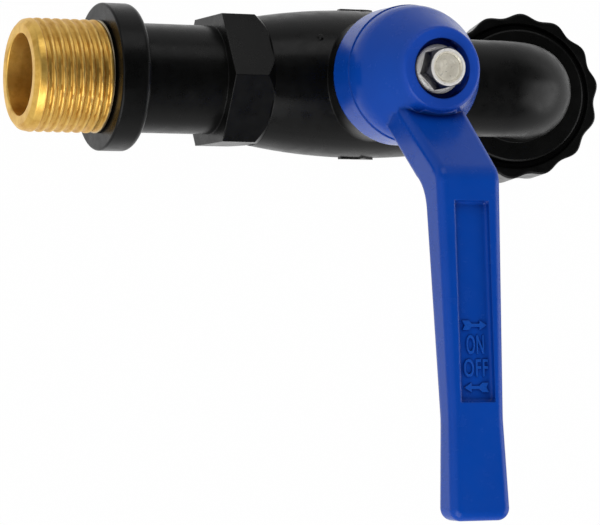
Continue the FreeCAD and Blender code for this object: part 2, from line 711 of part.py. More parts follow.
def waterways(body, s):
    """Everything that the water and the inner pieces need cut out of the body."""
    chamber = new_sketch(body, "XZ_Plane", "ChamberSection")
    outline(chamber, [
        (s.hexagon_end, 0),
        (s.hexagon_end, s.chamber_radius),
        (s.chamber_end, s.chamber_radius),
        (s.chamber_end, s.seat_ring_radius + s.seat_groove_half),
        (s.chamber_end + s.seat_groove_depth, s.seat_ring_radius + s.seat_groove_half),
        (s.chamber_end + s.seat_groove_depth, s.seat_ring_radius - s.seat_groove_half),
        (s.chamber_end, s.seat_ring_radius - s.seat_groove_half),
        (s.chamber_end, s.waterway_radius),
        (s.bend_x, s.waterway_radius),
        (s.bend_x, 0),
    ])
    revolve(body, "Chamber", chamber, "H_Axis", cut=True)
    ring = new_sketch(body, "YZ_Plane", "BendBore", z=s.bend_x)
    circle(ring, 0, 0, s.waterway_radius)
    axis = ring.addGeometry(Part.LineSegment(FreeCAD.Vector(-1, -s.bend_radius.value, 0),
                                             FreeCAD.Vector(1, -s.bend_radius.value, 0)), True)
    pin_point(ring, axis, 1, -1.0, -s.bend_radius)
    pin_point(ring, axis, 2, 1.0, -s.bend_radius)
    revolve(body, "BendWaterway", ring, "Axis0", angle=s.bend_angle, cut=True)
    leg = new_sketch(body, "XZ_Plane", "LegBore", x=s.outlet_x, y=s.outlet_z,
                     axis=(0, 0, 1), turn=180 + s.outlet_lean)
    outline(leg, [
        (0, -s.outlet_drop),
        (s.waterway_radius, -s.outlet_drop),
        (s.waterway_radius, s.outlet_thread_length - s.outlet_bore_depth),
        (s.outlet_bore_radius, s.outlet_thread_length - s.outlet_bore_depth),
        (s.outlet_bore_radius, s.outlet_thread_length),
        (0, s.outlet_thread_length),
    ])
    revolve(body, "LegWaterway", leg, cut=True)
    stem = new_sketch(body, "XZ_Plane", "StemRoom", x=s.stem_x)
    outline(stem, [
        (0, 0),
        (s.stem_collar_radius + s.running_fit, 0),
        (s.stem_collar_radius + s.running_fit, s.recess_top),
        (s.gland_bore, s.recess_top),
        (s.gland_bore, s.gland_height),
        (0, s.gland_height),
    ])
    revolve(body, "StemBore", stem, cut=True)


def valve_body(document, s):
    body = new_body(document, "valve_body")
    barrel(body, s)
    gland(body, s)
    spout_end(body, s)
    waterways(body, s)
    return body


def ball(document, s):
    body = new_body(document, "ball")
    half = new_sketch(body, "XZ_Plane", "HalfDisc")
    outline(half, [
        (0, -s.ball_radius),
        Arc(s.ball_radius, 0, s.ball_radius, "left"),
        Arc(0, s.ball_radius, s.ball_radius, "left"),
    ])
    revolve(body, "Sphere", half)
    bore = new_sketch(body, "XZ_Plane", "BoreCircle")
    circle(bore, 0, 0, s.ball_bore_radius)
    extrude(body, "Bore", bore, 2 * s.ball_radius, cut=True, middle=True)
    slot = new_sketch(body, "YZ_Plane", "SlotSection")
    rectangle(slot, -s.ball_slot_width / 2, s.ball_slot_floor, s.ball_slot_width / 2, s.ball_radius)
    extrude(body, "Slot", slot, 2 * s.ball_radius, cut=True, middle=True)
    vent = new_sketch(body, "YZ_Plane", "VentCircle")
    circle(vent, 0, 0, s.ball_vent_radius)
    extrude(body, "Vent", vent, s.ball_radius, cut=True, backwards=True)
    place(body, x=s.stem_x)
    return body


def seat(document, label, s, facing):
    """A seat whose hollow face rides on the ball. Facing 1 lies on the outlet's side, -1 on the inlet's."""
    hollow = s.ball_radius + s.running_fit
    front_radius = root(hollow * hollow - s.seat_front * s.seat_front)
    throat = root(hollow * hollow - s.seat_bore_radius * s.seat_bore_radius)
    body = turned_piece(document, label, [
        Arc(front_radius, s.seat_front, hollow, "right"),
        (s.seat_radius, s.seat_front),
        (s.seat_radius, s.seat_back),
        (s.seat_bore_radius, s.seat_back),
        (s.seat_bore_radius, throat),
    ])
    place(body, x=s.stem_x, axis=(0, 1, 0), turn=90.0 * facing)
    return body


def stem(document, s):
    body = new_body(document, "stem")
    section = new_sketch(body, "XZ_Plane", "Section")
    half = s.stem_ring_section + s.ring_fit
    outline(section, [
        (0, s.collar_bottom),
        (s.stem_collar_radius, s.collar_bottom),
        (s.stem_collar_radius, s.collar_top),
        (s.stem_radius, s.collar_top),
        (s.stem_radius, s.lower_ring_height - half),
        (s.stem_groove_floor, s.lower_ring_height - half),
        (s.stem_groove_floor, s.lower_ring_height + half),
        (s.stem_radius, s.lower_ring_height + half),
        (s.stem_radius, s.upper_ring_height - half),
        (s.stem_groove_floor, s.upper_ring_height - half),
        (s.stem_groove_floor, s.upper_ring_height + half),
        (s.stem_radius, s.upper_ring_height + half),
        (s.stem_radius, s.gland_height),
        (0, s.gland_height),
    ])
    revolve(body, "Turned", section)
    tongue_floor = s.ball_slot_floor + s.tongue_floor_gap
    tongue = new_sketch(body, "XY_Plane", "TongueSection", z=tongue_floor)
    thickness = s.ball_slot_width - 2 * s.running_fit
    rectangle(tongue, -s.tongue_length / 2, -thickness / 2, s.tongue_length / 2, thickness / 2)
    extrude(body, "Tongue", tongue, s.collar_top - tongue_floor)
    square = new_sketch(body, "XY_Plane", "SquareSection", z=s.gland_height)
    half_square = s.square_flats / 2
    rectangle(square, -half_square, -half_square, half_square, half_square)
    extrude(body, "Square", square, s.square_length)
    hole = new_sketch(body, "XY_Plane", "ScrewHole", z=s.gland_height + s.square_length)
    circle(hole, 0, 0, s.screw_radius + s.fixed_fit)
    extrude(body, "ThreadedHole", hole, s.screw_hole_depth, cut=True)
    place(body, x=s.stem_x)
    return body


def washer(document, label, inner, outer, low, high):
    return turned_piece(document, label, [(inner, low), (outer, low), (outer, high), (inner, high)])


def arm(body, s):
    """The cranked arm, with its sides trimmed to its outline from above."""
    side = new_sketch(body, "YZ_Plane", "ArmSide")
    outline(side, [
        (-s.screw_recess_radius, s.crank_foot_height),
        (-s.elbow_reach, s.elbow_height, s.elbow_round),
        (-s.waist_reach, s.waist_height, s.arm_blend),
        (-s.tip_reach, s.tip_height),
        (-s.tip_reach, s.tip_height - s.tip_thickness),
        (-s.waist_reach, s.waist_height - s.waist_thickness),
        (-s.underside_reach, s.elbow_height - s.elbow_thickness, s.underside_round),
        (-s.armpit_reach, s.armpit_height),
        (s.skirt_wall - s.cavity_radius, s.crown_corner),
        (-s.screw_recess_radius, s.crown_corner),
    ])
    extrude(body, "Arm", side, 2 * s.arm_root_half_width, middle=True)
    plan = new_sketch(body, "XY_Plane", "ArmPlan", z=s.crown_corner)
    reach = s.tip_reach + s.arm_root_reach
    width = 2 * s.arm_root_half_width
    rectangle(plan, -width, -reach, width, s.arm_root_reach)
    outline(plan, [
        (-s.arm_root_half_width - s.bite, s.bite),
        (-s.arm_root_half_width, -s.arm_root_reach),
        (-s.elbow_half_width, -s.underside_reach, s.arm_blend),
        (-s.waist_half_width, -s.waist_reach, s.arm_blend),
        (-s.tip_half_width, -s.tip_reach, s.tip_round),
        (s.tip_half_width, -s.tip_reach, s.tip_round),
        (s.waist_half_width, -s.waist_reach, s.arm_blend),
        (s.elbow_half_width, -s.underside_reach, s.arm_blend),
        (s.arm_root_half_width, -s.arm_root_reach),
        (s.arm_root_half_width + s.bite, s.bite),
    ])
    trimmed = extrude(body, "ArmTrim", plan, 2 * s.tip_height, cut=True, middle=True)
    return trimmed


def boss(body, s):
    """The round boss over the gland, hollow, with a hub, ribs and stop ribs inside."""
    section = new_sketch(body, "XZ_Plane", "BossSection")
    cone_start = s.skirt_radius - s.skirt_step
    outline(section, [
        (0, -s.skirt_drop),
        (s.skirt_radius, -s.skirt_drop),
        (s.skirt_radius, s.skirt_band_top),
        (cone_start, s.skirt_band_top),
        (cone_start, s.crown_corner, s.crown_round),
        (s.crown_radius, s.crown_top, s.crown_edge),
        (0, s.crown_top),
    ])
    revolve(body, "Boss", section)
    slope = (cone_start - s.crown_radius) / (s.crown_top - s.crown_corner)
    wall = s.crown_wall / cosine(slope_angle(cone_start - s.crown_radius, s.crown_top - s.crown_corner))
    top_radius = cone_start - slope * (s.cavity_top - s.crown_corner) - wall
    bend_height = s.crown_corner + (cone_start - wall - s.cavity_radius) / slope
    hollow = new_sketch(body, "XZ_Plane", "Hollow")
    outline(hollow, [
        (0, -s.skirt_drop),
        (s.cavity_radius, -s.skirt_drop),
        (s.cavity_radius, bend_height),
        (top_radius, s.cavity_top),
        (s.hub_radius, s.cavity_top),
        (s.hub_radius, s.hub_bottom),
        (0, s.hub_bottom),
    ])
    revolve(body, "BossHollow", hollow, cut=True)
    rib = new_sketch(body, "XZ_Plane", "RibSection")
    bite = s.crown_wall / 2
    outline(rib, [
        (s.hub_radius - bite, s.boss_rib_bottom),
        (s.cavity_radius + bite, s.boss_rib_bottom),
        (s.cavity_radius + bite, bend_height),
        (top_radius + bite, s.cavity_top),
        (s.hub_radius - bite, s.cavity_top),
    ])
    rib_solid = extrude(body, "Rib", rib, s.boss_rib_width, middle=True)
    polar(body, "Ribs", rib_solid, "V_Axis", 6)
    stop = new_sketch(body, "YZ_Plane", "StopSection")
    rectangle(stop, -s.cavity_radius - bite, -s.stop_rib_drop,
              -s.gland_radius - s.stop_rib_gap, s.stop_rib_top)
    stop_solid = revolve(body, "StopRib", stop, angle=s.stop_angle, middle=True)
    polar(body, "StopRibs", stop_solid, "V_Axis", 2)


def handle_cuts(body, s):
    """The screw's recess and hole, the square socket, the sunk panel and the hollow grip."""
    recess = new_sketch(body, "XY_Plane", "ScrewRecess", z=s.screw_seat)
    circle(recess, 0, 0, s.screw_recess_radius)
    extrude(body, "Recess", recess, s.tip_height - s.screw_seat, cut=True, backwards=True)
    hole = new_sketch(body, "XY_Plane", "ScrewHole", z=s.square_length)
    circle(hole, 0, 0, s.screw_radius + s.screw_play)
    extrude(body, "Hole", hole, s.crown_top - s.square_length, cut=True, backwards=True)
    socket = new_sketch(body, "XY_Plane", "Socket", z=s.hub_bottom)
    half = s.square_flats / 2 + s.fixed_fit
    rectangle(socket, -half, -half, half, half)
    extrude(body, "SquareSocket", socket, s.square_length + s.fixed_fit - s.hub_bottom,
            cut=True, backwards=True)

    rise = s.waist_height - s.elbow_height
    run = s.waist_reach - s.elbow_reach
    grip_angle = slope_angle(rise, run)
    panel = new_sketch(body, "XY_Plane", "Panel", y=-s.elbow_reach, z=s.elbow_height,
                       axis=(1, 0, 0), turn=-grip_angle)
    rectangle(panel, -s.panel_width / 2, -s.panel_start - s.panel_length, s.panel_width / 2, -s.panel_start)
    extrude(body, "SunkPanel", panel, s.panel_depth, cut=True)
    cells = new_sketch(body, "YZ_Plane", "GripCells", x=-s.elbow_reach, y=s.elbow_height,
                       axis=(0, 0, 1), turn=180 - grip_angle)
    rectangle(cells, s.cell_start, s.grip_top_wall, s.cell_start + s.cell_length,
              s.grip_top_wall + s.elbow_height - s.crown_corner)
    cell = extrude(body, "GripCell", cells, 2 * (s.waist_half_width - s.grip_side_wall),
                   cut=True, middle=True)
    linear(body, "GripHollow", cell, "H_Axis", s.cell_pitch, s.cell_count)


def lever_handle(document, s):
    body = new_body(document, "lever_handle")
    trimmed = arm(body, s)
    document.recompute()
    upper = edges_where(trimmed, lambda points: upper_edge(points, s))
    fillet(body, "SoftEdges", trimmed, upper, s.arm_edge)
    boss(body, s)
    handle_cuts(body, s)
    place(body, x=s.stem_x, z=s.gland_height)
    return body


def upper_edge(points, s):
    """True for the edges along the top of the arm's sides and tip."""
    middle = points[-1]
    if max(point.y for point in points) > -s.arm_root_reach.value + 0.01:
        return False
    if abs(middle.x) < s.waist_half_width.value / 2 and middle.y > -s.tip_reach.value + 0.01:
        return False
    return all(point.z > arm_top(point.y, s) - s.arm_edge.value for point in points)


def arm_top(y, s):
    """Height of the arm's upper face, without its rounded elbow."""
    reach = -y
    grip = s.elbow_height.value
    if reach < s.elbow_reach.value:
        return grip - (s.elbow_reach.value - reach) * s.crank_slope.value
    return grip


def handle_screw(document, s):
    body = new_body(document, "handle_screw")
    flange_top = s.screw_seat + s.screw_flange_height
    head_top = s.screw_seat + s.screw_head_height
    section = new_sketch(body, "XZ_Plane", "Section")
    outline(section, [
        (0, s.screw_seat - s.screw_length),
        (s.screw_radius - s.screw_chamfer, s.screw_seat - s.screw_length),
        (s.screw_radius, s.screw_seat - s.screw_length + s.screw_chamfer),
        (s.screw_radius, s.screw_seat),
        (s.screw_flange_radius, s.screw_seat),
        (s.screw_flange_radius, s.screw_seat + s.screw_flange_height / 2),
        (s.screw_head_flats / 2, flange_top),
        (0, flange_top),
    ])
    revolve(body, "Turned", section)
    head = new_sketch(body, "XY_Plane", "HeadHexagon", z=s.screw_seat + s.screw_flange_height / 2)
    polygon(head, 6, s.screw_head_flats, 0.0)
    extrude(body, "Head", head, s.screw_head_height - s.screw_flange_height / 2)
    chamfer = new_sketch(body, "XZ_Plane", "HeadChamfer")
    corner = s.screw_head_flats / (2 * cosine(Size(30.0, "30")))
    outline(chamfer, [
        (s.screw_head_flats / 2 - s.screw_chamfer, head_top),
        (corner + s.screw_chamfer, head_top),
        (corner + s.screw_chamfer, head_top - (corner - s.screw_head_flats / 2) - s.screw_chamfer),
    ])
    revolve(body, "HeadCorners", chamfer, cut=True)
    dimple = new_sketch(body, "XY_Plane", "Dimple", z=head_top)
    circle(dimple, 0, 0, s.screw_dimple_radius)
    extrude(body, "SunkFace", dimple, s.screw_dimple_depth, cut=True)
    place(body, x=s.stem_x, z=s.gland_height, axis=(0, 0, 1), turn=s.screw_head_turn)
    return body


def lobe_outline(sketch, s):
    """One lobe of the nut, from the middle of a flute to the middle of the next, about the X axis."""
    half_pitch = 180 / s.flute_count
    along = cosine(half_pitch)
    aside = sine(half_pitch)
    valley = s.nut_radius - s.flute_depth
    flute_reach = valley + s.flute_radius
    both = s.nut_radius + s.flute_radius
    lobe_reach = (both * both - flute_reach * flute_reach) / (2 * both - 2 * flute_reach * along)
    lobe_radius = s.nut_radius - lobe_reach
    span = s.flute_radius + lobe_radius
    meet_x = (flute_reach * along * lobe_radius + lobe_reach * s.flute_radius) / span
    meet_y = flute_reach * aside * lobe_radius / span
    inner = s.nut_lip_radius - s.nut_lip_thickness
    outline(sketch, [
        (inner * along, inner * aside),
        (inner * along, -inner * aside),
        (valley * along, -valley * aside),
        Arc(meet_x, -meet_y, s.flute_radius, "right"),
        Arc(meet_x, meet_y, lobe_radius, "left"),
        Arc(valley * along, valley * aside, s.flute_radius, "right"),
    ])


def outlet_nut(document, s):
    body = new_body(document, "outlet_nut")
    end = s.lip_start + s.nut_lip_thickness
    wedge = new_sketch(body, "XY_Plane", "LobeSection", z=s.nut_start,
                       axis=(0, 0, 1), turn=s.flute_turn + 180 / s.flute_count)
    lobe_outline(wedge, s)
    lobe = extrude(body, "Lobe", wedge, end - s.nut_start)
    polar(body, "Lobes", lobe, "N_Axis", s.flute_count)
    inside = new_sketch(body, "XZ_Plane", "Inside")
    outline(inside, [
        (0, s.nut_start),
        (s.nut_mouth_radius, s.nut_start),
        (s.nut_mouth_radius, s.nut_start + s.nut_mouth_depth),
        (s.nut_bore, s.nut_start + s.nut_mouth_depth),
        (s.nut_bore, s.lip_start),
        (s.nut_lip_radius, s.lip_start),
        (s.nut_lip_radius, end),
        (0, end),
    ])
    revolve(body, "NutBore", inside, cut=True)
    for label, rim, inward in (("UpperRim", s.nut_start, 1), ("LowerRim", end, -1)):
        edge = new_sketch(body, "XZ_Plane", label + "Section")
        outline(edge, [
            (s.nut_radius - s.nut_edge, rim),
            (s.nut_radius + s.nut_edge, rim),
            (s.nut_radius + s.nut_edge, rim + inward * 2 * s.nut_edge),
        ])
        revolve(body, label, edge, cut=True)
    on_leg(body, s)
    return body


def hose_tail(document, s):
    flange_end = s.flange_start + s.tail_flange_thickness
    first = flange_end + s.tail_shank_length
    barbs_end = first + s.barb_pitch * s.barb_count
    tail_end = barbs_end + s.tail_tip_length
    body = turned_piece(document, "hose_tail", [
        (s.tail_bore_radius, s.flange_start),
        (s.flange_radius, s.flange_start),
        (s.flange_radius, flange_end),
        (s.tail_shank_radius, flange_end),
        (s.tail_shank_radius, barbs_end),
        (s.tail_shank_radius - s.barb_height, tail_end),
        (s.tail_bore_radius, tail_end),
    ])
    barb = new_sketch(body, "XZ_Plane", "BarbSection")
    inside = s.tail_shank_radius - s.barb_height / 2
    crest = s.tail_shank_radius + s.barb_height
    outline(barb, [
        (inside, first),
        (crest, first),
        (crest, first + s.barb_land),
        (s.tail_shank_radius, first + s.barb_pitch),
        (inside, first + s.barb_pitch),
    ])
    ridge = revolve(body, "Barb", barb)
    linear(body, "Barbs", ridge, "V_Axis", s.barb_pitch, s.barb_count)
    on_leg(body, s)
    return body


def sealing_rings(document, s):
    """Every round-section ring of the tap."""
    rings = []
    ring = sealing_ring(document, "insert_seal_ring",
                        s.insert_groove_floor + s.insert_ring_section + s.ring_fit, s.insert_ring_section)
    along_inlet(ring, s.insert_end - s.insert_ring_inset - s.insert_ring_section - s.ring_fit)
    rings.append(ring)
    ring = sealing_ring(document, "connector_seal_ring",
                        s.chamber_radius - s.connector_ring_section - s.ring_fit,
                        s.connector_ring_section)
    along_inlet(ring, s.connector_ring_x)
    rings.append(ring)
    for label, x in (("inlet_seat_ring", s.spigot_end - s.seat_groove_depth + s.seat_groove_half),
                     ("outlet_seat_ring", s.chamber_end + s.seat_groove_depth - s.seat_groove_half)):
        ring = sealing_ring(document, label, s.seat_ring_radius, s.seat_ring_section)
        along_inlet(ring, x)
        rings.append(ring)
    for label, height in (("stem_ring_lower", s.lower_ring_height),
                          ("stem_ring_upper", s.upper_ring_height)):
        ring = sealing_ring(document, label, s.gland_bore - s.stem_ring_section - s.ring_fit,
                            s.stem_ring_section)
        place(ring, x=s.stem_x, z=height)
        rings.append(ring)
    return rings


def washers(document, s):
    """The flat washers of the stem and the outlet."""
    thrust = washer(document, "stem_slip_washer", s.gland_bore, s.stem_collar_radius,
                    s.collar_top, s.collar_top + s.thrust_washer_height)
    place(thrust, x=s.stem_x)
    gland_ring = washer(document, "gland_washer", s.gland_bore, s.gland_radius,
                        s.gland_height, s.gland_height + s.gland_washer_height)
    place(gland_ring, x=s.stem_x)
    hose = washer(document, "hose_washer", s.hose_washer_hole_radius, s.flange_radius,
                  s.outlet_thread_length, s.flange_start)
    on_leg(hose, s)
    return [thrust, gland_ring, hose]


def check(document, pieces):
    """Stops the build if a feature failed, a cut removed nothing or a piece isn't a sound solid."""
    for thing in document.Objects:
        if "Invalid" in thing.State or "Error" in thing.State:
            raise RuntimeError(f"{thing.Label} failed: {thing.State}")
        if thing.TypeId in ("PartDesign::Groove", "PartDesign::Pocket"):
            removed = thing.BaseFeature.Shape.Volume - thing.Shape.Volume
            if removed < 1e-6:
                raise RuntimeError(f"{thing.Label} removes nothing")
    for piece in pieces:
        shape = piece.Shape
        if shape.isNull() or not shape.isValid():
            raise RuntimeError(f"{piece.Label} has no valid shape")
        if len(shape.Solids) != 1:
            raise RuntimeError(f"{piece.Label} has {len(shape.Solids)} solids")


def main():
    document = FreeCAD.newDocument("GardenTap")
    s = Sheet(document, SIZES)
    layout(s)
    pieces = [
        inlet_insert(document, s),
        inlet_connector(document, s),
        valve_body(document, s),
        ball(document, s),
        seat(document, "inlet_seat", s, -1),
        seat(document, "outlet_seat", s, 1),
        stem(document, s),
        lever_handle(document, s),
        handle_screw(document, s),
        outlet_nut(document, s),
        hose_tail(document, s),
    ]
    pieces += sealing_rings(document, s)
    pieces += washers(document, s)
    document.recompute()
    check(document, pieces)
    os.makedirs("parts", exist_ok=True)
    for piece in pieces:
        piece.Shape.exportStep(f"parts/{piece.Label}.step")
        print(f"{piece.Label}: {piece.Shape.Volume:.1f} mm3")


main()
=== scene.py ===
import json
import math
import bmesh
import bpy
from mathutils import Matrix, Vector


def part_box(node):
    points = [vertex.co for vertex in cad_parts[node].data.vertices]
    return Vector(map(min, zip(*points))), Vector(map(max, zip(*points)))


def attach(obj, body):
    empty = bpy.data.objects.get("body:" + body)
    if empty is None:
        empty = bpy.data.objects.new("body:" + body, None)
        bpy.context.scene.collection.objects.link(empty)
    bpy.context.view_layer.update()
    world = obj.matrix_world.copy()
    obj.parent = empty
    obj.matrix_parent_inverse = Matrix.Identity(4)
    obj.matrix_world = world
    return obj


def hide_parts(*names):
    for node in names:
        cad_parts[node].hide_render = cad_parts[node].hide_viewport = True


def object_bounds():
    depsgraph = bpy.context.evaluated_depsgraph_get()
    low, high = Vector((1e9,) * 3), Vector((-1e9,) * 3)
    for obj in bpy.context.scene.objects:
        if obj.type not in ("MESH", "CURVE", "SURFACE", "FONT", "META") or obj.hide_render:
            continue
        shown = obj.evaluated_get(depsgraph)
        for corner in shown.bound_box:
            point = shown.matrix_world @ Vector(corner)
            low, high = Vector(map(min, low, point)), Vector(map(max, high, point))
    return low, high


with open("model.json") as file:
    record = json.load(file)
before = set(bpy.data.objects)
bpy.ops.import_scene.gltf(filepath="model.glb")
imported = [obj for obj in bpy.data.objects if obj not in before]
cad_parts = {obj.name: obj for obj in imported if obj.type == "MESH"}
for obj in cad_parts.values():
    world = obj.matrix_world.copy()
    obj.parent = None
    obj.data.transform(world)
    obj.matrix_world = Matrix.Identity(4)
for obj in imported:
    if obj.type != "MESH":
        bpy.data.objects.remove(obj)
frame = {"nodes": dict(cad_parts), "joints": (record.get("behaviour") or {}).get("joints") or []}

# A garden ball tap with a brass inlet thread, a black body and a blue cranked lever.
# The CAD gives the pieces' places. Sizes here are in millimetres and MM turns them into metres.

MM = 0.001

# Points round a turned piece and a threaded one, along a rounded corner, and along a thread's turn
AROUND = 160
THREAD_AROUND = 192
ROUND_STEPS = 4
ROWS_PER_TURN = 14

# Distances below which two points are one, on new meshes and on the CAD's
SAME_POINT = 0.0001
SAME_CAD_POINT = 0.002

# The pipe thread, with 14 turns to the inch
PIPE_PITCH = 1.814
PIPE_DEPTH = 1.162

NODES = frame["nodes"]
JOINTS = {joint["name"]: joint for joint in frame["joints"]}
CAD_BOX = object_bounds()


def node_span(node, axis):
    """Lowest and highest place of a CAD node along an axis, in millimetres."""
    low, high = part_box(node)
    return low[axis] / MM, high[axis] / MM


# The stem's place, the way the outlet leg points, and the shoulder at the start of its thread,
# which is NUT_MIDDLE above the nut's joint
STEM_X = JOINTS["lever_turn"]["pos_m"][0] / MM
LEG = Vector(JOINTS["nut_turn"]["axis"]).normalized()
LEG_TURN = math.atan2(LEG.x, LEG.z)
NUT_MIDDLE = 10.0
SHOULDER = Vector(JOINTS["nut_turn"]["pos_m"]) / MM - LEG * NUT_MIDDLE

# Frames that pieces are modelled in: Z along the tap, down the outlet leg, or up the stem
ALONG_TAP = Matrix.Rotation(math.radians(90), 4, "Y")
DOWN_LEG = Matrix.Translation(SHOULDER * MM) @ Matrix.Rotation(LEG_TURN, 4, "Y")
UP_STEM = Matrix.Translation((STEM_X * MM, 0, 0))

INSERT_LENGTH = node_span("inlet_insert", 0)[1]
SCREW_LOW, SCREW_TOP = node_span("handle_screw", 2)
SCREW_SEAT = SCREW_LOW + 16.0

# The lever's arm: its ridge at the elbow, the slopes of grip and crank, and its end at the boss
ELBOW_REACH = 19.0
ELBOW_HEIGHT = 50.1
GRIP_SLOPE = math.atan(2.8 / 44.0)
CRANK_SLOPE = math.radians(50.3)
BOSS_REACH = 13.2

# The sunk panel on the grip, measured from the elbow's ridge, and the signs raised in it
PANEL_START = 5.4
PANEL_LENGTH = 35.6
PANEL_WIDTH = 6.6
PANEL_DEPTH = 1.15
SIGN_ASIDE = 0.15
SIGN_HEIGHT = 0.3
SIGN_ROOT = 0.3

# The top of the band round the boss's foot, and the flat crown round the screw
BAND_HEIGHT = 26.4
CROWN_HEIGHT = 38.95
CROWN_RADIUS = 8.0


# Meshes

def make_object(name, vertices, faces):
    """A mesh object in the scene, its vertices in metres."""
    mesh = bpy.data.meshes.new(name)
    mesh.from_pydata(vertices, [], faces)
    mesh.validate()
    piece = bpy.data.objects.new(name, mesh)
    bpy.context.scene.collection.objects.link(piece)
    return piece


def rounded(path):
    """Points (radius, height), where a third number rounds the corner with an arc."""
    points = []
    count = len(path)
    for index, corner in enumerate(path):
        here = Vector(corner[:2])
        if len(corner) < 3:
            points.append(here)
            continue
        back = (Vector(path[index - 1][:2]) - here).normalized()
        ahead = (Vector(path[(index + 1) % count][:2]) - here).normalized()
        half = back.angle(ahead) / 2
        centre = here + (back + ahead).normalized() * corner[2] / math.sin(half)
        start = here + back * corner[2] / math.tan(half) - centre
        end = here + ahead * corner[2] / math.tan(half) - centre
        sweep = start.angle_signed(end)
        for step in range(ROUND_STEPS + 1):
            turned = start.copy()
            turned.rotate(Matrix.Rotation(-sweep * step / ROUND_STEPS, 2))
            points.append(centre + turned)
    return points


def threaded_rows(path, low, high, pitch=PIPE_PITCH):
    """Adds enough points to a path's upright run from low to high for a thread to follow."""
    points = []
    slack = 0.01
    step = pitch / ROWS_PER_TURN
    for index, point in enumerate(path):
        points.append(point)
        following = path[(index + 1) % len(path)]
        rise = following.y - point.y
        bottom = min(point.y, following.y)
        top = max(point.y, following.y)
        if bottom >= low - slack and top <= high + slack and abs(rise) > step:
            pieces = int(abs(rise) / step)
            points += [point.lerp(following, part / pieces) for part in range(1, pieces)]
    return points


def lathe(name, points, around=AROUND):
    """Spins a closed outline of (radius, height) round Z. Points on the axis become poles."""
    vertices = []
    rows = []
    for point in points:
        if point.x < SAME_POINT:
            rows.append([len(vertices)] * around)
            vertices.append((0, 0, point.y * MM))
            continue
        rows.append(list(range(len(vertices), len(vertices) + around)))
        for step in range(around):
            angle = 2 * math.pi * step / around
            x = point.x * math.cos(angle) * MM
            y = point.x * math.sin(angle) * MM
            vertices.append((x, y, point.y * MM))
    faces = []
    for index, row in enumerate(rows):
        following = rows[(index + 1) % len(rows)]
        if row[0] == row[1] and following[0] == following[1]:
            continue
        for step in range(around):
            beyond = (step + 1) % around
            corners = [row[step], row[beyond], following[beyond], following[step]]
            faces.append(list(dict.fromkeys(corners)))
    piece = make_object(name, vertices, faces)
    recalculate(piece)
    return piece


def cylinder(name, radius, low, high, around):
    """A plain cylinder on Z, from low to high."""
    return lathe(name, rounded([(0, low), (radius, low), (radius, high), (0, high)]), around)


def recalculate(piece):
    """Points every face outwards."""
    shape = bmesh.new()
    shape.from_mesh(piece.data)
    bmesh.ops.remove_doubles(shape, verts=shape.verts, dist=SAME_POINT * MM)
    bmesh.ops.recalc_face_normals(shape, faces=shape.faces)
    shape.to_mesh(piece.data)
    shape.free()


def settle(piece):
    """Turns a piece's modifiers into a plain mesh."""
    depsgraph = bpy.context.evaluated_depsgraph_get()
    mesh = bpy.data.meshes.new_from_object(piece.evaluated_get(depsgraph), depsgraph=depsgraph)
    piece.modifiers.clear()
    piece.data = mesh
    mesh.name = piece.name
    return piece


def remove(piece):
    """Takes an object out of the scene."""
    bpy.data.objects.remove(piece, do_unlink=True)


def smooth(piece, sharp=32.0):
    """Smooth shading with sharp edges kept, and flat faces left flat beside small roundings."""
    piece.data.shade_smooth()
    piece.data.set_sharp_from_angle(angle=math.radians(sharp))
    weighted = piece.modifiers.new("Weighted", "WEIGHTED_NORMAL")
    weighted.keep_sharp = True
    return settle(piece)


def soften(piece, width, steps=2, sharp=30.0):
    """Rounds a piece's sharp edges by a width in millimetres."""
    bevel = piece.modifiers.new("Bevel", "BEVEL")
    bevel.width = width * MM
    bevel.segments = steps
    bevel.limit_method = "ANGLE"
    bevel.angle_limit = math.radians(sharp)
    return settle(piece)


def combine(piece, tool, operation):
    """Joins, cuts or intersects a piece with a tool, which is used up."""
    boolean = piece.modifiers.new("Boolean", "BOOLEAN")
    boolean.object = tool
    boolean.operation = operation
    boolean.solver = "EXACT"
    bpy.context.view_layer.update()
    settle(piece)
    remove(tool)
    return piece


def join(piece, *others):
    """Adds other meshes to a piece, which uses them up."""
    shape = bmesh.new()
    shape.from_mesh(piece.data)
    for other in others:
        shape.from_mesh(other.data)
        remove(other)
    shape.to_mesh(piece.data)
    shape.free()
    return piece


def prism(name, corners, low, high):
    """A straight prism on a flat outline of (x, y) that runs anticlockwise, from low to high."""
    count = len(corners)
    vertices = [(x * MM, y * MM, low * MM) for x, y in corners]
    vertices += [(x * MM, y * MM, high * MM) for x, y in corners]
    faces = [tuple(range(count - 1, -1, -1)), tuple(range(count, 2 * count))]
    for side in range(count):
        beyond = (side + 1) % count
        faces.append((side, beyond, count + beyond, count + side))
    piece = make_object(name, vertices, faces)
    recalculate(piece)
    return piece


def merged_copy(node, name):
    """A copy of a CAD node with its loose triangles joined up."""
    piece = bpy.data.objects.new(name, NODES[node].data.copy())
    piece.data.materials.clear()
    bpy.context.scene.collection.objects.link(piece)
    shape = bmesh.new()
    shape.from_mesh(piece.data)
    bmesh.ops.remove_doubles(shape, verts=shape.verts, dist=SAME_CAD_POINT * MM)
    bmesh.ops.dissolve_limit(shape, angle_limit=math.radians(0.3), verts=shape.verts, edges=shape.edges)
    shape.to_mesh(piece.data)
    shape.free()
    return piece


def place(piece, matrix):
    """Moves a mesh from the frame it was modelled in to the tap's frame."""
    piece.data.transform(matrix)
    return piece


def dress(piece, material, body, *nodes):
    """Gives a finished piece its material and its body, in place of CAD nodes."""
    piece.data.materials.clear()
    piece.data.materials.append(material)
    if nodes:
        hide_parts(*nodes)
    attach(piece, body)
    return piece


# Nodes that both kinds of trees use

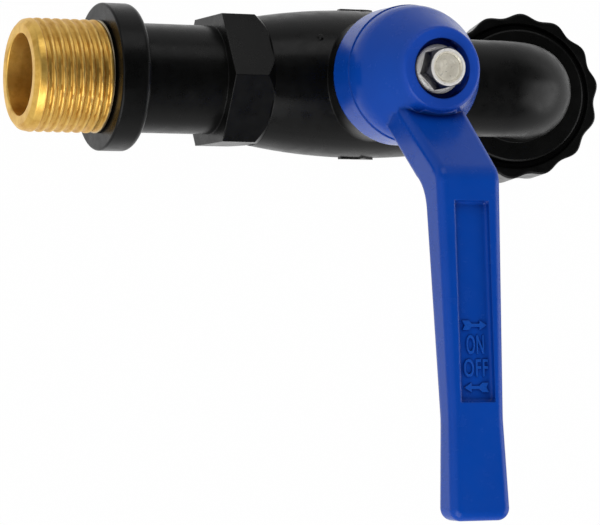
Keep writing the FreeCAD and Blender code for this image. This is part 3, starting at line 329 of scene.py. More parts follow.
def math_node(tree, operation, *values):
    """A Math node fed by sockets or numbers."""
    node = tree.nodes.new("ShaderNodeMath")
    node.operation = operation
    for socket, value in zip(node.inputs, values):
        if isinstance(value, (int, float)):
            socket.default_value = value
        else:
            tree.links.new(value, socket)
    return node.outputs[0]


def spread(tree, value, low, high, start, end, smooth_step=False):
    """A value spread from start..end to low..high, and held at its ends."""
    node = tree.nodes.new("ShaderNodeMapRange")
    if smooth_step:
        node.interpolation_type = "SMOOTHSTEP"
    tree.links.new(value, node.inputs["Value"])
    node.inputs["From Min"].default_value = start
    node.inputs["From Max"].default_value = end
    node.inputs["To Min"].default_value = low
    node.inputs["To Max"].default_value = high
    return node.outputs["Result"]


# Geometry Nodes

class Tree:
    """A Geometry Nodes tree that moves the points of one mesh."""

    def __init__(self, name, sizes):
        self.group = bpy.data.node_groups.new(name, "GeometryNodeTree")
        face = self.group.interface
        face.new_socket("Geometry", in_out="INPUT", socket_type="NodeSocketGeometry")
        for size in sizes:
            face.new_socket(size, in_out="INPUT", socket_type="NodeSocketFloat")
        face.new_socket("Material", in_out="INPUT", socket_type="NodeSocketMaterial")
        face.new_socket("Geometry", in_out="OUTPUT", socket_type="NodeSocketGeometry")
        self.start = self.group.nodes.new("NodeGroupInput")

    def add(self, kind):
        """A new node of a kind."""
        return self.group.nodes.new(kind)

    def link(self, source, target):
        """Joins one node's output to another's input."""
        self.group.links.new(source, target)

    def math(self, operation, *values):
        """A Math node of this tree."""
        return math_node(self.group, operation, *values)

    def polar(self):
        """The position as radius, angle and height about Z."""
        split = self.add("ShaderNodeSeparateXYZ")
        self.link(self.add("GeometryNodeInputPosition").outputs[0], split.inputs[0])
        x, y, z = split.outputs
        squares = self.math("ADD", self.math("MULTIPLY", x, x), self.math("MULTIPLY", y, y))
        return self.math("SQRT", squares), self.math("ARCTAN2", y, x), z

    def finish(self, radius, angle, height):
        """Puts the points at their new radius and ends the tree."""
        spot = self.add("ShaderNodeCombineXYZ")
        self.link(self.math("MULTIPLY", radius, self.math("COSINE", angle)), spot.inputs[0])
        self.link(self.math("MULTIPLY", radius, self.math("SINE", angle)), spot.inputs[1])
        self.link(height, spot.inputs[2])
        move = self.add("GeometryNodeSetPosition")
        self.link(self.start.outputs["Geometry"], move.inputs["Geometry"])
        self.link(spot.outputs[0], move.inputs["Position"])
        real = self.add("GeometryNodeRealizeInstances")
        paint = self.add("GeometryNodeSetMaterial")
        end = self.add("NodeGroupOutput")
        self.link(move.outputs[0], real.inputs[0])
        self.link(real.outputs[0], paint.inputs["Geometry"])
        self.link(self.start.outputs["Material"], paint.inputs["Material"])
        self.link(paint.outputs[0], end.inputs[0])
        return self.group


def thread_tree():
    """Cuts a helical thread into the points between two radii and two heights."""
    crest_share = 0.12
    flank_slope = 5.5
    tree = Tree("ScrewThread", ["Crest", "Depth", "Pitch", "Low", "High", "Fade", "Least Radius",
                                "Most Radius"])
    size = tree.start.outputs
    radius, angle, height = tree.polar()
    turns = tree.math("SUBTRACT", tree.math("DIVIDE", height, size["Pitch"]),
                      tree.math("DIVIDE", angle, 2 * math.pi))
    saw = tree.math("ABSOLUTE", tree.math("SUBTRACT", tree.math("FRACT", turns), 0.5))
    groove = tree.math("SUBTRACT", tree.math("MULTIPLY", saw, flank_slope), flank_slope * crest_share)
    groove = tree.math("MINIMUM", tree.math("MAXIMUM", groove, 0.0), 1.0)
    rise = tree.math("DIVIDE", tree.math("SUBTRACT", height, size["Low"]), size["Fade"])
    fall = tree.math("DIVIDE", tree.math("SUBTRACT", size["High"], height), size["Fade"])
    reach = tree.math("MINIMUM", tree.math("MAXIMUM", tree.math("MINIMUM", rise, fall), 0.0), 1.0)
    wall = tree.math("MULTIPLY", tree.math("GREATER_THAN", radius, size["Least Radius"]),
                     tree.math("LESS_THAN", radius, size["Most Radius"]))
    depth = tree.math("MULTIPLY", size["Depth"], tree.math("MULTIPLY", groove, reach))
    limit = tree.math("SUBTRACT", size["Crest"], depth)
    apart = tree.math("SUBTRACT", tree.math("MINIMUM", radius, limit), radius)
    radius = tree.math("ADD", radius, tree.math("MULTIPLY", apart, wall))
    return tree.finish(radius, angle, height)


def lobe_tree():
    """Presses hollow flutes into the points outside a radius."""
    tree = Tree("Lobes", ["Depth", "Count", "Turn", "Least Radius"])
    size = tree.start.outputs
    radius, angle, height = tree.polar()
    from_turn = tree.math("SUBTRACT", angle, size["Turn"])
    wave = tree.math("COSINE", tree.math("MULTIPLY", from_turn, size["Count"]))
    wave = tree.math("MULTIPLY", tree.math("ADD", wave, 1.0), 0.5)
    outside = tree.math("GREATER_THAN", radius, size["Least Radius"])
    depth = tree.math("MULTIPLY", size["Depth"], tree.math("MULTIPLY", wave, outside))
    return tree.finish(tree.math("SUBTRACT", radius, depth), angle, height)


def grow(piece, group, material, sizes):
    """Runs a Geometry Nodes tree on a piece with named sizes and keeps the result as a plain mesh."""
    modifier = piece.modifiers.new(group.name, "NODES")
    modifier.node_group = group
    for item in group.interface.items_tree:
        if item.in_out == "INPUT" and item.name in sizes:
            modifier[item.identifier] = sizes[item.name]
        if item.in_out == "INPUT" and item.name == "Material":
            modifier[item.identifier] = material
    return settle(piece)


def cut_thread(piece, material, crest, low, high, fade, least, most, pitch=PIPE_PITCH, depth=PIPE_DEPTH):
    """Cuts a thread, its sizes in millimetres, into a piece that stands on its own axis."""
    return grow(piece, THREAD, material, {
        "Crest": crest * MM, "Depth": depth * MM, "Pitch": pitch * MM, "Low": low * MM,
        "High": high * MM, "Fade": fade * MM, "Least Radius": least * MM, "Most Radius": most * MM,
    })


# Materials

class Shader:
    """A Principled material with a few helpers for procedural detail on Object coordinates."""

    def __init__(self, name, colour, roughness, metallic=0.0):
        self.material = bpy.data.materials.new(name)
        self.material.use_nodes = True
        self.tree = self.material.node_tree
        self.surface = self.tree.nodes["Principled BSDF"]
        self.surface.inputs["Base Color"].default_value = (*colour, 1.0)
        self.surface.inputs["Roughness"].default_value = roughness
        self.surface.inputs["Metallic"].default_value = metallic
        self.material.diffuse_color = (*colour, 1.0)
        self.places = self.tree.nodes.new("ShaderNodeTexCoord").outputs["Object"]

    def set(self, name, value):
        """Sets a shader input to one value all over."""
        self.surface.inputs[name].default_value = value

    def feed(self, name, socket):
        """Feeds a shader input from a node."""
        self.tree.links.new(socket, self.surface.inputs[name])

    def stretched(self, scale, shift):
        """Object coordinates in millimetres, stretched by a scale for each axis, and shifted."""
        mapping = self.tree.nodes.new("ShaderNodeMapping")
        mapping.inputs["Location"].default_value = shift
        mapping.inputs["Scale"].default_value = [part / MM for part in scale]
        self.tree.links.new(self.places, mapping.inputs["Vector"])
        return mapping.outputs["Vector"]

    def noise(self, scale, detail=2.0, roughness=0.5, shift=(0, 0, 0)):
        """Noise whose scale is given for each axis, in waves per millimetre."""
        node = self.tree.nodes.new("ShaderNodeTexNoise")
        node.inputs["Scale"].default_value = 1.0
        node.inputs["Detail"].default_value = detail
        node.inputs["Roughness"].default_value = roughness
        self.tree.links.new(self.stretched(scale, shift), node.inputs["Vector"])
        return node.outputs["Fac"]

    def between(self, value, low, high, start=0.3, end=0.7):
        """A value spread from start..end to low..high. Noise lies mostly between 0.3 and 0.7."""
        return spread(self.tree, value, low, high, start, end)

    def past(self, value, edge, width):
        """Zero below an edge, rising to one within a width on either side of it."""
        return self.between(value, 0.0, 1.0, edge - width, edge + width)

    def blend(self, value, first, second):
        """A colour between two, by a value."""
        node = self.tree.nodes.new("ShaderNodeMix")
        node.data_type = "RGBA"
        self.tree.links.new(value, node.inputs["Factor"])
        node.inputs["A"].default_value = (*first, 1.0)
        node.inputs["B"].default_value = (*second, 1.0)
        return node.outputs["Result"]

    def bump(self, value, depth, normal=None):
        """A bump whose depth is in millimetres."""
        node = self.tree.nodes.new("ShaderNodeBump")
        node.inputs["Strength"].default_value = 1.0
        node.inputs["Distance"].default_value = depth * MM
        self.tree.links.new(value, node.inputs["Height"])
        if normal:
            self.tree.links.new(normal, node.inputs["Normal"])
        return node.outputs["Normal"]

    def soft_edges(self, radius):
        """A normal that rounds moulded edges and inner corners by a radius in millimetres."""
        node = self.tree.nodes.new("ShaderNodeBevel")
        node.samples = 6
        node.inputs["Radius"].default_value = radius * MM
        return node.outputs["Normal"]

    def open_sky(self, reach, inside=False):
        """One on open surfaces and less in corners, or, inside, less at edges, by a reach in mm."""
        node = self.tree.nodes.new("ShaderNodeAmbientOcclusion")
        node.samples = 8
        node.inside = inside
        node.inputs["Distance"].default_value = reach * MM
        return node.outputs["AO"]

    def from_stem(self):
        """Distance from the stem's axis, in millimetres."""
        away = self.tree.nodes.new("ShaderNodeVectorMath")
        away.operation = "LENGTH"
        self.tree.links.new(self.stretched((1, 1, 0), (-STEM_X, 0, 0)), away.inputs[0])
        return away.outputs["Value"]

    def both(self, first, second):
        """The product of two values."""
        return math_node(self.tree, "MULTIPLY", first, second)

    def over(self, tone, value, colour):
        """A colour laid over a tone where a value is one."""
        laid = self.blend(value, colour, colour)
        self.tree.links.new(tone, laid.node.inputs["A"])
        return laid

    def axis(self, name):
        """One of the Object coordinates, in metres."""
        split = self.tree.nodes.new("ShaderNodeSeparateXYZ")
        self.tree.links.new(self.places, split.inputs[0])
        return split.outputs[name]


def moulded_plastic(name, colour, pale, roughness, grain, soft=0.3, specular=0.5, painted_corner_shade=None, crown=None):
    """Moulded plastic: slow drifts of tone and gloss, a fine grain, and soft edges.

    The lever's also has painted light on its crown round the screw, and painted shade in its corners
    above its band.
    """
    shader = Shader(name, colour, roughness)
    shader.set("Specular IOR Level", specular)
    shader.set("IOR", 1.49)
    drift = shader.noise((0.05, 0.05, 0.05), detail=3.0)
    tone = shader.blend(shader.between(drift, 0.0, 1.0), colour, pale)
    # Painted light: the crown round the screw is painted paler than the rest of the lever.
    if crown:
        near = shader.between(shader.from_stem(), 1.0, 0.0, CROWN_RADIUS - 1.0, CROWN_RADIUS + 1.0)
        high = shader.past(shader.axis("Z"), (CROWN_HEIGHT - 1.0) * MM, 0.6 * MM)
        tone = shader.over(tone, shader.both(near, high), crown)
    # Painted shade: the tone darkens in corners above the band, where ambient occlusion finds them.
    if painted_corner_shade:
        above = shader.past(shader.axis("Z"), (BAND_HEIGHT + 0.4) * MM, 0.4 * MM)
        corners = shader.between(shader.open_sky(3.2), 1.0, 0.0, 0.25, 0.85)
        tone = shader.over(tone, shader.both(above, corners), painted_corner_shade)
    shader.feed("Base Color", tone)
    gloss = shader.noise((0.4, 0.4, 0.4), detail=4.0, roughness=0.6, shift=(7, 3, 1))
    shader.feed("Roughness", shader.between(gloss, roughness - 0.06, roughness + 0.08))
    fine = shader.bump(shader.noise((7.0, 7.0, 7.0), detail=2.0), grain, shader.soft_edges(soft))
    shader.feed("Normal", shader.bump(drift, grain * 6, fine))
    return shader.material


def turned_brass(name, colour, stained, metallic=1.0, collar_shadow_from=None):
    """Turned brass: fine tool rings along the tap's axis, and small stains.

    The inlet's also has painted shade in its thread grooves, painted highlights on its crests, and
    painted shadow on its end beside the collar, where it is moulded in.
    """
    shader = Shader(name, colour, 0.34, metallic)
    rings = shader.noise((9.0, 0.12, 0.12), detail=3.0)
    stains = shader.noise((0.35, 0.35, 0.35), detail=4.0, roughness=0.65)
    tone = shader.blend(shader.between(stains, 0.0, 1.0, 0.42, 0.72), colour, stained)
    if collar_shadow_from:
        # Colours of the painted shade in the grooves, the painted highlight on the crests, and the
        # painted shadow beside the collar
        groove_shade_brown = (0.50, 0.26, 0.05)
        highlight_pale = (1.0, 0.88, 0.62)
        painted_shade = (0.022, 0.011, 0.004)
        # Painted shade: thread grooves darkened where ambient occlusion finds them.
        groove_shade = shader.between(shader.open_sky(1.4), 1.0, 0.0, 0.5, 1.0)
        # Painted highlight: crest edges paled where inside ambient occlusion finds them.
        crest_highlight = shader.between(shader.open_sky(0.5, inside=True), 1.0, 0.0, 0.4, 0.8)
        # Painted shadow: the end beside the collar is painted dark.
        collar_shadow = shader.past(shader.axis("X"), collar_shadow_from * MM, 0.3 * MM)
        for part, paint in ((groove_shade, groove_shade_brown), (crest_highlight, highlight_pale), (collar_shadow, painted_shade)):
            tone = shader.over(tone, part, paint)
    shader.feed("Base Color", tone)
    shader.feed("Roughness", shader.between(rings, 0.34, 0.48))
    shader.feed("Normal", shader.bump(rings, 0.026))
    return shader.material


def pressed_steel(name, flange_top, face, rim):
    """Plated steel of the pressed screw: a dull stamped face, a pale rim and flange, and sides painted
    dark as painted shade.
    """
    pale = (0.92, 0.90, 0.87)
    # The dark colour is painted shade for the hexagon's sides.
    painted_shade = (0.07, 0.07, 0.08)
    shader = Shader(name, (0.86, 0.84, 0.80), 0.30)
    stamped = shader.noise((1.1, 1.1, 1.1), detail=4.0, roughness=0.6, shift=(2, 5, 0))
    dull = shader.blend(shader.between(stamped, 0.0, 1.0), (0.60, 0.56, 0.46), (0.80, 0.76, 0.66))
    past_rim = shader.past(shader.from_stem(), rim, 0.06)
    # Painted shade: the hexagon's sides are painted dark, as full metal.
    shaded_sides = shader.both(shader.past(shader.axis("Z"), flange_top * MM, 0.1 * MM), past_rim)
    tone = shader.over(dull, shader.past(shader.from_stem(), face, 0.1), pale)
    shader.feed("Base Color", shader.over(tone, shaded_sides, painted_shade))
    shader.feed("Metallic", shader.between(shaded_sides, 0.35, 1.0, 0.0, 1.0))
    marks = shader.noise((1.6, 1.6, 1.6), detail=5.0, roughness=0.6)
    shader.feed("Roughness", shader.between(marks, 0.24, 0.42))
    scratched = shader.bump(marks, 0.03, shader.soft_edges(0.1))
    shader.feed("Normal", shader.bump(stamped, 0.10, scratched))
    return shader.material


def plated_ball(name):
    """The ball's bright plating, with faint marks of use."""
    shader = Shader(name, (0.80, 0.80, 0.80), 0.10, 1.0)
    marks = shader.noise((1.6, 1.6, 1.6), detail=5.0, roughness=0.6)
    shader.feed("Roughness", shader.between(marks, 0.04, 0.20))
    shader.feed("Normal", shader.bump(marks, 0.012))
    return shader.material


def rubber(name):
    """Dull black rubber with a fine grain."""
    shader = Shader(name, (0.018, 0.018, 0.018), 0.62)
    grain = shader.noise((5.0, 5.0, 5.0), detail=3.0)
    shader.feed("Roughness", shader.between(grain, 0.55, 0.72))
    shader.feed("Normal", shader.bump(grain, 0.01))
    return shader.material


# The inlet's brass has painted shade and highlights on its thread, and painted shadow from 14.8 mm on.
BRASS = turned_brass("Brass", (0.90, 0.58, 0.14), (0.66, 0.36, 0.06), metallic=0.94, collar_shadow_from=14.8)
STEM_BRASS = turned_brass("Stem_brass", (0.76, 0.55, 0.25), (0.52, 0.33, 0.12))
BLACK = moulded_plastic("Black_plastic", (0.0014, 0.0015, 0.0015), (0.0028, 0.0029, 0.0027),
                        roughness=0.30, grain=0.005, specular=0.20)
# The lever's blue has painted shade in its corners and painted light on its crown.
BLUE = moulded_plastic("Blue_plastic", (0.0012, 0.046, 0.325), (0.0018, 0.054, 0.365),
                       roughness=0.22, grain=0.003, soft=0.45, specular=0.18,
                       painted_corner_shade=(0.0006, 0.006, 0.11), crown=(0.010, 0.062, 0.41))
# The signs' blue is paler than the lever's: painted light on the raised signs.
RAISED_BLUE_LIT = moulded_plastic("Raised_blue_lit", (0.0030, 0.064, 0.37), (0.0040, 0.068, 0.39),
                              roughness=0.30, grain=0.003, soft=0.1, specular=0.20)
WHITE = moulded_plastic("White_plastic", (0.82, 0.82, 0.79), (0.87, 0.87, 0.85),
                        roughness=0.34, grain=0.004)
NICKEL = pressed_steel("Nickel_steel", flange_top=SCREW_SEAT + 1.25, face=2.9, rim=3.38)
CHROME = plated_ball("Plated_ball")
RUBBER = rubber("Black_rubber")
THREAD = thread_tree()
LOBES = lobe_tree()


# Pieces

def brass_inlet():
    """The brass insert with its G 1/2 thread."""
    crest = 10.4775
    lead = 10.2
    face = 9.35
    core = 9.4
    bore = 7.55
    thread_end = 15.0
    path = threaded_rows(rounded([
        (bore, 0.0, 0.35),
        (face, 0.0, 0.2),
        (lead, 0.75, 0.6),
        (crest, 2.1),
        (crest, thread_end),
        (core, thread_end),
        (core, INSERT_LENGTH),
        (bore, INSERT_LENGTH),
    ]), 0.1, thread_end)
    piece = lathe("Brass_inlet", path, THREAD_AROUND)
    cut_thread(piece, BRASS, crest, low=1.7, high=thread_end, fade=0.5, least=8.9, most=11.0, depth=0.5)
    smooth(piece, 50.0)
    return dress(place(piece, ALONG_TAP), BRASS, "tap_body", "inlet_insert")


def inlet_connector():
    """The black connector with its collar, neck and spanner hexagon, its moulded edges rounded."""
    piece = merged_copy("inlet_connector", "Inlet_connector")
    soften(piece, 0.35, 3, 25.0)
    smooth(piece, 40.0)
    return dress(piece, BLACK, "tap_body", "inlet_connector")


def threaded_outlet():
    """The male G 3/4 end below the outlet's shoulder."""
    crest = 13.22
    chamfer = 1.1
    end = 13.6
    bore = 9.2
    step = 4.0
    waterway = 6.3
    path = threaded_rows(rounded([
        (waterway, 0.0),
        (crest, 0.0, 0.4),
        (crest, end - chamfer),
        (crest - chamfer, end, 0.3),
        (bore, end, 0.3),
        (bore, step),
        (waterway, step),
    ]), 0.3, end)
    piece = lathe("Threaded_outlet", path, THREAD_AROUND)
    cut_thread(piece, BLACK, crest, low=1.2, high=end + 2.0, fade=0.9, least=11.4, most=14.0)
    return place(piece, DOWN_LEG)


def flow_arrow(side):
    """A plain raised arrow along the flow, on one side of the barrel."""
    tail = STEM_X - 3.1
    neck = STEM_X + 0.6
    tip = STEM_X + 3.9
    shaft = 0.75
    wing = 2.3
    outline = [(tail, -shaft), (neck, -shaft), (neck, -wing), (tip, 0.0), (neck, wing), (neck, shaft),
               (tail, shaft)]
    arrow = prism("Flow_arrow", outline, 12.0, 16.0)
    place(arrow, Matrix.Rotation(math.radians(-90.0 * side), 4, "X"))
    skin = cylinder("Arrow_skin", 14.35, STEM_X - 8.0, STEM_X + 8.0, 128)
    combine(arrow, place(skin, ALONG_TAP), "INTERSECT")
    return soften(arrow, 0.18, 2, 30.0)


def gate_mark():
    """The small round scar that the mould's gate left on the barrel."""
    radius = 0.55
    height = 0.16
    root = -0.6
    foot = Vector((55.43, 7.755, 11.294))
    outline = rounded([(0, root), (radius, root), (radius, height, 0.14), (0, height)])
    dome = lathe("Gate_mark", outline, 32)
    lean = math.atan2(foot.y, foot.z)
    return place(dome, Matrix.Translation(foot * MM) @ Matrix.Rotation(-lean, 4, "X"))


def valve_body():
    """The black body with its gland, spout and bend, and the threaded outlet cut for the nut."""
    piece = merged_copy("valve_body", "Valve_body")
    room = cylinder("Outlet_room", 17.0, 0.0, 20.0, 64)
    combine(piece, place(room, DOWN_LEG), "DIFFERENCE")
    soften(piece, 0.3, 2, 28.0)
    join(piece, threaded_outlet(), flow_arrow(-1), flow_arrow(1), gate_mark())
    smooth(piece, 38.0)
    return dress(piece, BLACK, "tap_body", "valve_body")


def lever_word(word, width, height, middle):
    """A raised plain word, its letters stretched to a width and height, on the lever's sunk panel."""
    curve = bpy.data.curves.new("Word_" + word, "FONT")
    curve.body = word
    curve.offset = 0.012
    curve.space_character = 1.1
    curve.resolution_u = 6
    text = bpy.data.objects.new("Word_" + word, curve)
    bpy.context.scene.collection.objects.link(text)
    depsgraph = bpy.context.evaluated_depsgraph_get()
    piece = make_object("Raised_" + word, [], [])
    piece.data = bpy.data.meshes.new_from_object(text.evaluated_get(depsgraph), depsgraph=depsgraph)
    remove(text)
    shape = bmesh.new()
    shape.from_mesh(piece.data)
    bmesh.ops.remove_doubles(shape, verts=shape.verts, dist=1e-5)
    left, right = [side(vertex.co.x for vertex in shape.verts) for side in (min, max)]
    low, high = [side(vertex.co.y for vertex in shape.verts) for side in (min, max)]
    for vertex in shape.verts:
        vertex.co.x = (vertex.co.x - (left + right) / 2) * width / (right - left) * MM
        vertex.co.y = ((vertex.co.y - (low + high) / 2) * height / (high - low) + middle) * MM
        vertex.co.z = -SIGN_ROOT * MM
    raised = bmesh.ops.extrude_face_region(shape, geom=shape.faces[:])["geom"]
    for part in raised:
        if isinstance(part, bmesh.types.BMVert):
            part.co.z = SIGN_HEIGHT * MM
    bmesh.ops.recalc_face_normals(shape, faces=shape.faces)
    shape.to_mesh(piece.data)
    shape.free()
    return piece


def lever_arrow(way, middle):
    """A raised plain feathered arrow across the lever's sunk panel, to the right or left."""
    half = [(2.4, 0.0), (1.0, 0.85), (1.0, 0.28), (-0.6, 0.28), (-1.1, 0.85), (-2.4, 0.85), (-1.9, 0.0)]
    below = [(x, -y) for x, y in reversed(half[1:-1])]
    corners = [(x * way, y + middle) for x, y in half + below]
    return prism("Lever_arrow", corners if way > 0 else corners[::-1], -SIGN_ROOT, SIGN_HEIGHT)


def on_panel(height):
    """The frame of the lever's panel, with its origin at the elbow's ridge and this far above the arm."""
    ridge = Matrix.Translation(Vector((STEM_X, -ELBOW_REACH, ELBOW_HEIGHT)) * MM)
    return ridge @ Matrix.Rotation(-GRIP_SLOPE, 4, "X") @ Matrix.Translation((0, 0, height * MM))


def lever_signs():
    """Plain words and arrows raised on the floor of the lever's panel, each at its place along it."""
    signs = [
        lever_arrow(1, -27.4),
        lever_word("ON", 3.45, 3.4, -30.8),
        lever_word("OFF", 4.75, 3.15, -34.95),
        lever_arrow(-1, -38.4),
    ]
    piece = join(make_object("Lever_signs", [], []), *signs)
    place(piece, on_panel(-PANEL_DEPTH) @ Matrix.Translation((SIGN_ASIDE * MM, 0, 0)))
    smooth(piece, 32.0)
    return dress(piece, RAISED_BLUE_LIT, "lever")


def deepen_arm(piece):
    """Lets the arm's hollow side hang lower, by as much as the photograph's side face is higher."""
    edge = 1.7
    extra = 1.5
    ramp_length = 4.0
    bend_start = 15.0
    bend_length = 9.0
    crank = Vector((0, -math.sin(CRANK_SLOPE), -math.cos(CRANK_SLOPE)))
    grip = Vector((0, 0, -1))
    for vertex in piece.data.vertices:
        reach = -vertex.co.y / MM
        if reach < BOSS_REACH:
            continue
        if reach < ELBOW_REACH:
            top = ELBOW_HEIGHT - (ELBOW_REACH - reach) * math.tan(CRANK_SLOPE)
            under = (top - vertex.co.z / MM) * math.cos(CRANK_SLOPE)
        else:
            top = ELBOW_HEIGHT + (reach - ELBOW_REACH) * math.tan(GRIP_SLOPE)
            under = top - vertex.co.z / MM
        share = min(max((under - edge) / edge, 0.0), 1.0)
        ramp = min((reach - BOSS_REACH) / ramp_length, 1.0)
        turn = min(max((reach - bend_start) / bend_length, 0.0), 1.0)
        vertex.co += crank.lerp(grip, turn) * extra * MM * share * ramp


def lever_handle():
    """The blue lever, with the floor of its panel sunk between round corners."""
    piece = merged_copy("lever_handle", "Lever_handle")
    deepen_arm(piece)
    spare = 0.02
    corner = 0.7
    square_from = 0.9
    high = PANEL_DEPTH + 1.0
    side = PANEL_WIDTH / 2 + spare
    start = -PANEL_START + spare
    end = -PANEL_START - PANEL_LENGTH - spare
    outline = [(-side, end), (side, end), (side, start), (-side, start)]
    room = prism("Panel_room", outline, 0.0, high)
    soften(room, corner, 5)
    combine(room, prism("Panel_low", outline, square_from, high), "UNION")
    combine(piece, place(room, on_panel(-PANEL_DEPTH)), "DIFFERENCE")
    smooth(piece, 32.0)
    return dress(piece, BLUE, "lever", "lever_handle")


def handle_screw():
    """The flanged hexagon screw on the lever, its face sunk and turned, its shank threaded."""
    flats = 7.0
    corner = flats / 2 / math.cos(math.radians(30))
    shank = 1.97
    pitch = 0.7
    flange = 4.5
    seat = SCREW_SEAT
    top = SCREW_TOP
    turn = math.radians(15)
    angles = [math.radians(60 * side) + turn for side in range(6)]
    ring = [(corner * math.cos(angle), corner * math.sin(angle)) for angle in angles]
    head = prism("Screw_head", ring, seat + 0.9, top)
    crown = lathe("Screw_crown", rounded([
        (0, seat),
        (corner + 0.1, seat),
        (corner + 0.1, top - 1.15),
        (flats / 2 - 0.12, top, 0.2),
        (0, top),
    ]), 96)
    combine(head, crown, "INTERSECT")
    face = lathe("Sunk_face", rounded([
        (0, top - 0.22),
        (0.9, top - 0.26),
        (1.2, top - 0.18),
        (2.3, top - 0.2),
        (2.55, top - 0.36, 0.1),
        (2.85, top + 0.1),
        (0, top + 0.1),
    ]), 96)
    combine(head, face, "DIFFERENCE")
    soften(head, 0.14, 2, 28.0)
    path = threaded_rows(rounded([
        (0, SCREW_LOW),
        (shank - 0.3, SCREW_LOW),
        (shank, SCREW_LOW + 0.3),
        (shank, seat),
        (flange, seat, 0.15),
        (flange, seat + 0.8, 0.3),
        (flange - 0.7, seat + 1.15, 0.3),
        (0, seat + 1.2),
    ]), SCREW_LOW, seat, pitch)
    piece = lathe("Handle_screw", path, 96)
    cut_thread(piece, NICKEL, shank, low=SCREW_LOW - 1, high=seat - 3.5, fade=0.5, least=1.3, most=2.1,
               pitch=pitch, depth=0.4)
    join(piece, head)
    smooth(piece, 35.0)
    return dress(place(piece, UP_STEM), NICKEL, "lever", "handle_screw")


def union_nut():
    """The nut with its round lobes and its inner G 3/4 thread."""
    lobes = 14
    outer = 16.65
    bore = 13.27
    mouth = 14.4
    hole = 10.4
    top = 1.6
    shoulder = 4.2
    lip = 17.45
    end = 19.65
    edge = 0.45
    path = rounded([
        (mouth, top, 0.3),
        (outer, top, edge),
        (outer, end, edge),
        (hole, end, 0.3),
        (hole, lip, 0.3),
        (bore, lip),
        (bore, shoulder),
        (mouth, shoulder),
    ])
    piece = lathe("Union_nut", threaded_rows(path, shoulder, lip), lobes * 16)
    cut_thread(piece, BLACK, bore, low=shoulder, high=lip, fade=1.0, least=12.5, most=13.8)
    grow(piece, LOBES, BLACK, {
        "Depth": 0.85 * MM, "Count": float(lobes), "Turn": math.radians(4.2), "Least Radius": 14.9 * MM,
    })
    smooth(piece, 40.0)
    return dress(place(piece, DOWN_LEG), BLACK, "nut", "outlet_nut")


def hose_tail():
    """The barbed tail that the nut holds."""
    bore = 7.2
    shank = 9.0
    crest = 9.9
    flange = 12.92
    flange_start = 15.2
    flange_end = 17.4
    first = 22.8
    pitch = 4.3
    barbs = 5
    end = first + pitch * barbs + 1.6
    path = [
        (bore, flange_start, 0.3),
        (flange, flange_start, 0.3),
        (flange, flange_end, 0.3),
        (shank, flange_end, 0.5),
    ]
    for index in range(barbs):
        base = first + pitch * index
        path += [
            (shank, base, 0.15),
            (crest, base, 0.2),
            (crest, base + 0.6, 0.5),
            (shank, base + pitch - 0.05),
        ]
    path += [(shank - 0.9, end, 0.4), (bore, end, 0.4)]
    piece = lathe("Hose_tail", rounded(path), 128)
    smooth(piece)
    return dress(place(piece, DOWN_LEG), BLACK, "tail", "hose_tail")


def keep_cad_nodes():
    """Gives the CAD nodes that stay their finishes."""
    finishes = {
        "ball": CHROME, "inlet_seat": WHITE, "outlet_seat": WHITE, "stem": STEM_BRASS,
        "stem_slip_washer": WHITE, "gland_washer": WHITE, "hose_washer": RUBBER,
        "insert_seal_ring": RUBBER, "connector_seal_ring": RUBBER, "inlet_seat_ring": RUBBER,
        "outlet_seat_ring": RUBBER, "stem_ring_lower": RUBBER, "stem_ring_upper": RUBBER,
    }
    for node, material in finishes.items():
        mesh = NODES[node].data
        mesh.materials.clear()
        mesh.materials.append(material)
        mesh.shade_smooth()
        mesh.set_sharp_from_angle(angle=math.radians(30))


# Camera, light and surroundings

# Light for surfaces that scatter it: brighter near the level than overhead
SKY_LIGHT = 0.33
LOW_LIGHT = 1.20
SKY_FROM = 0.55

# The floor is below the hose tail's reach when the nut is unscrewed. In glossy surfaces it is white
# near the point under the tap, and dim from further away on
FLOOR_DROP = 12.5
UNDER_TAP = Vector((60.0, -10.0, -60.0))
FLOOR_NEAR = 70.0
FLOOR_FAR = 170.0
FLOOR_DIM = 0.62

# The room that glossy surfaces mirror: each light's direction, the angles in degrees where it ends
# and where it is full, and its strength
TO_CAMERA = Vector((-0.396, -0.026, 0.918))
ROOM = [
    (-TO_CAMERA, 103.0, 65.0, 0.80),
    (-TO_CAMERA, 150.0, 95.0, 0.20),
    ((-0.3, -0.9, 0.2), 55.0, 15.0, 0.3),
    ((-0.8, -0.15, 0.55), 42.0, 12.0, 0.8),
    ((-1.0, 0.0, -0.2), 40.0, 10.0, 0.35),
    (TO_CAMERA, 30.0, 10.0, 0.08),
]


def camera():
    """The camera at the photograph's viewing angle."""
    aside = math.radians(23.314)
    lift = math.radians(1.474)
    roll = math.radians(-0.248)
    distance = 613.128
    to_right = 5.545
    down = 34.143
    focal_length = 3241.8 / 600
    back = Vector((-math.sin(aside), -math.sin(lift), 0))
    back.z = math.sqrt(1 - back.length_squared)
    level = (Vector((0, 1, 0)) - back * back.y).normalized()
    across = level.cross(back)
    right = across * math.cos(roll) + level * math.sin(roll)
    up = level * math.cos(roll) - across * math.sin(roll)
    target = Vector((50.0, 0, 0))
    spot = target + right * to_right - up * down + back * distance
    data = bpy.data.cameras.new("Camera")
    data.sensor_width = 36.0
    data.lens = focal_length * data.sensor_width
    data.clip_start = 10.0 * MM
    data.clip_end = 20000.0 * MM
    view = bpy.data.objects.new("Camera", data)
    bpy.context.scene.collection.objects.link(view)
    view.matrix_world = Matrix((
        (right.x, up.x, back.x, spot.x * MM),
        (right.y, up.y, back.y, spot.y * MM),
        (right.z, up.z, back.z, spot.z * MM),
        (0, 0, 0, 1),
    ))
    bpy.context.scene.camera = view


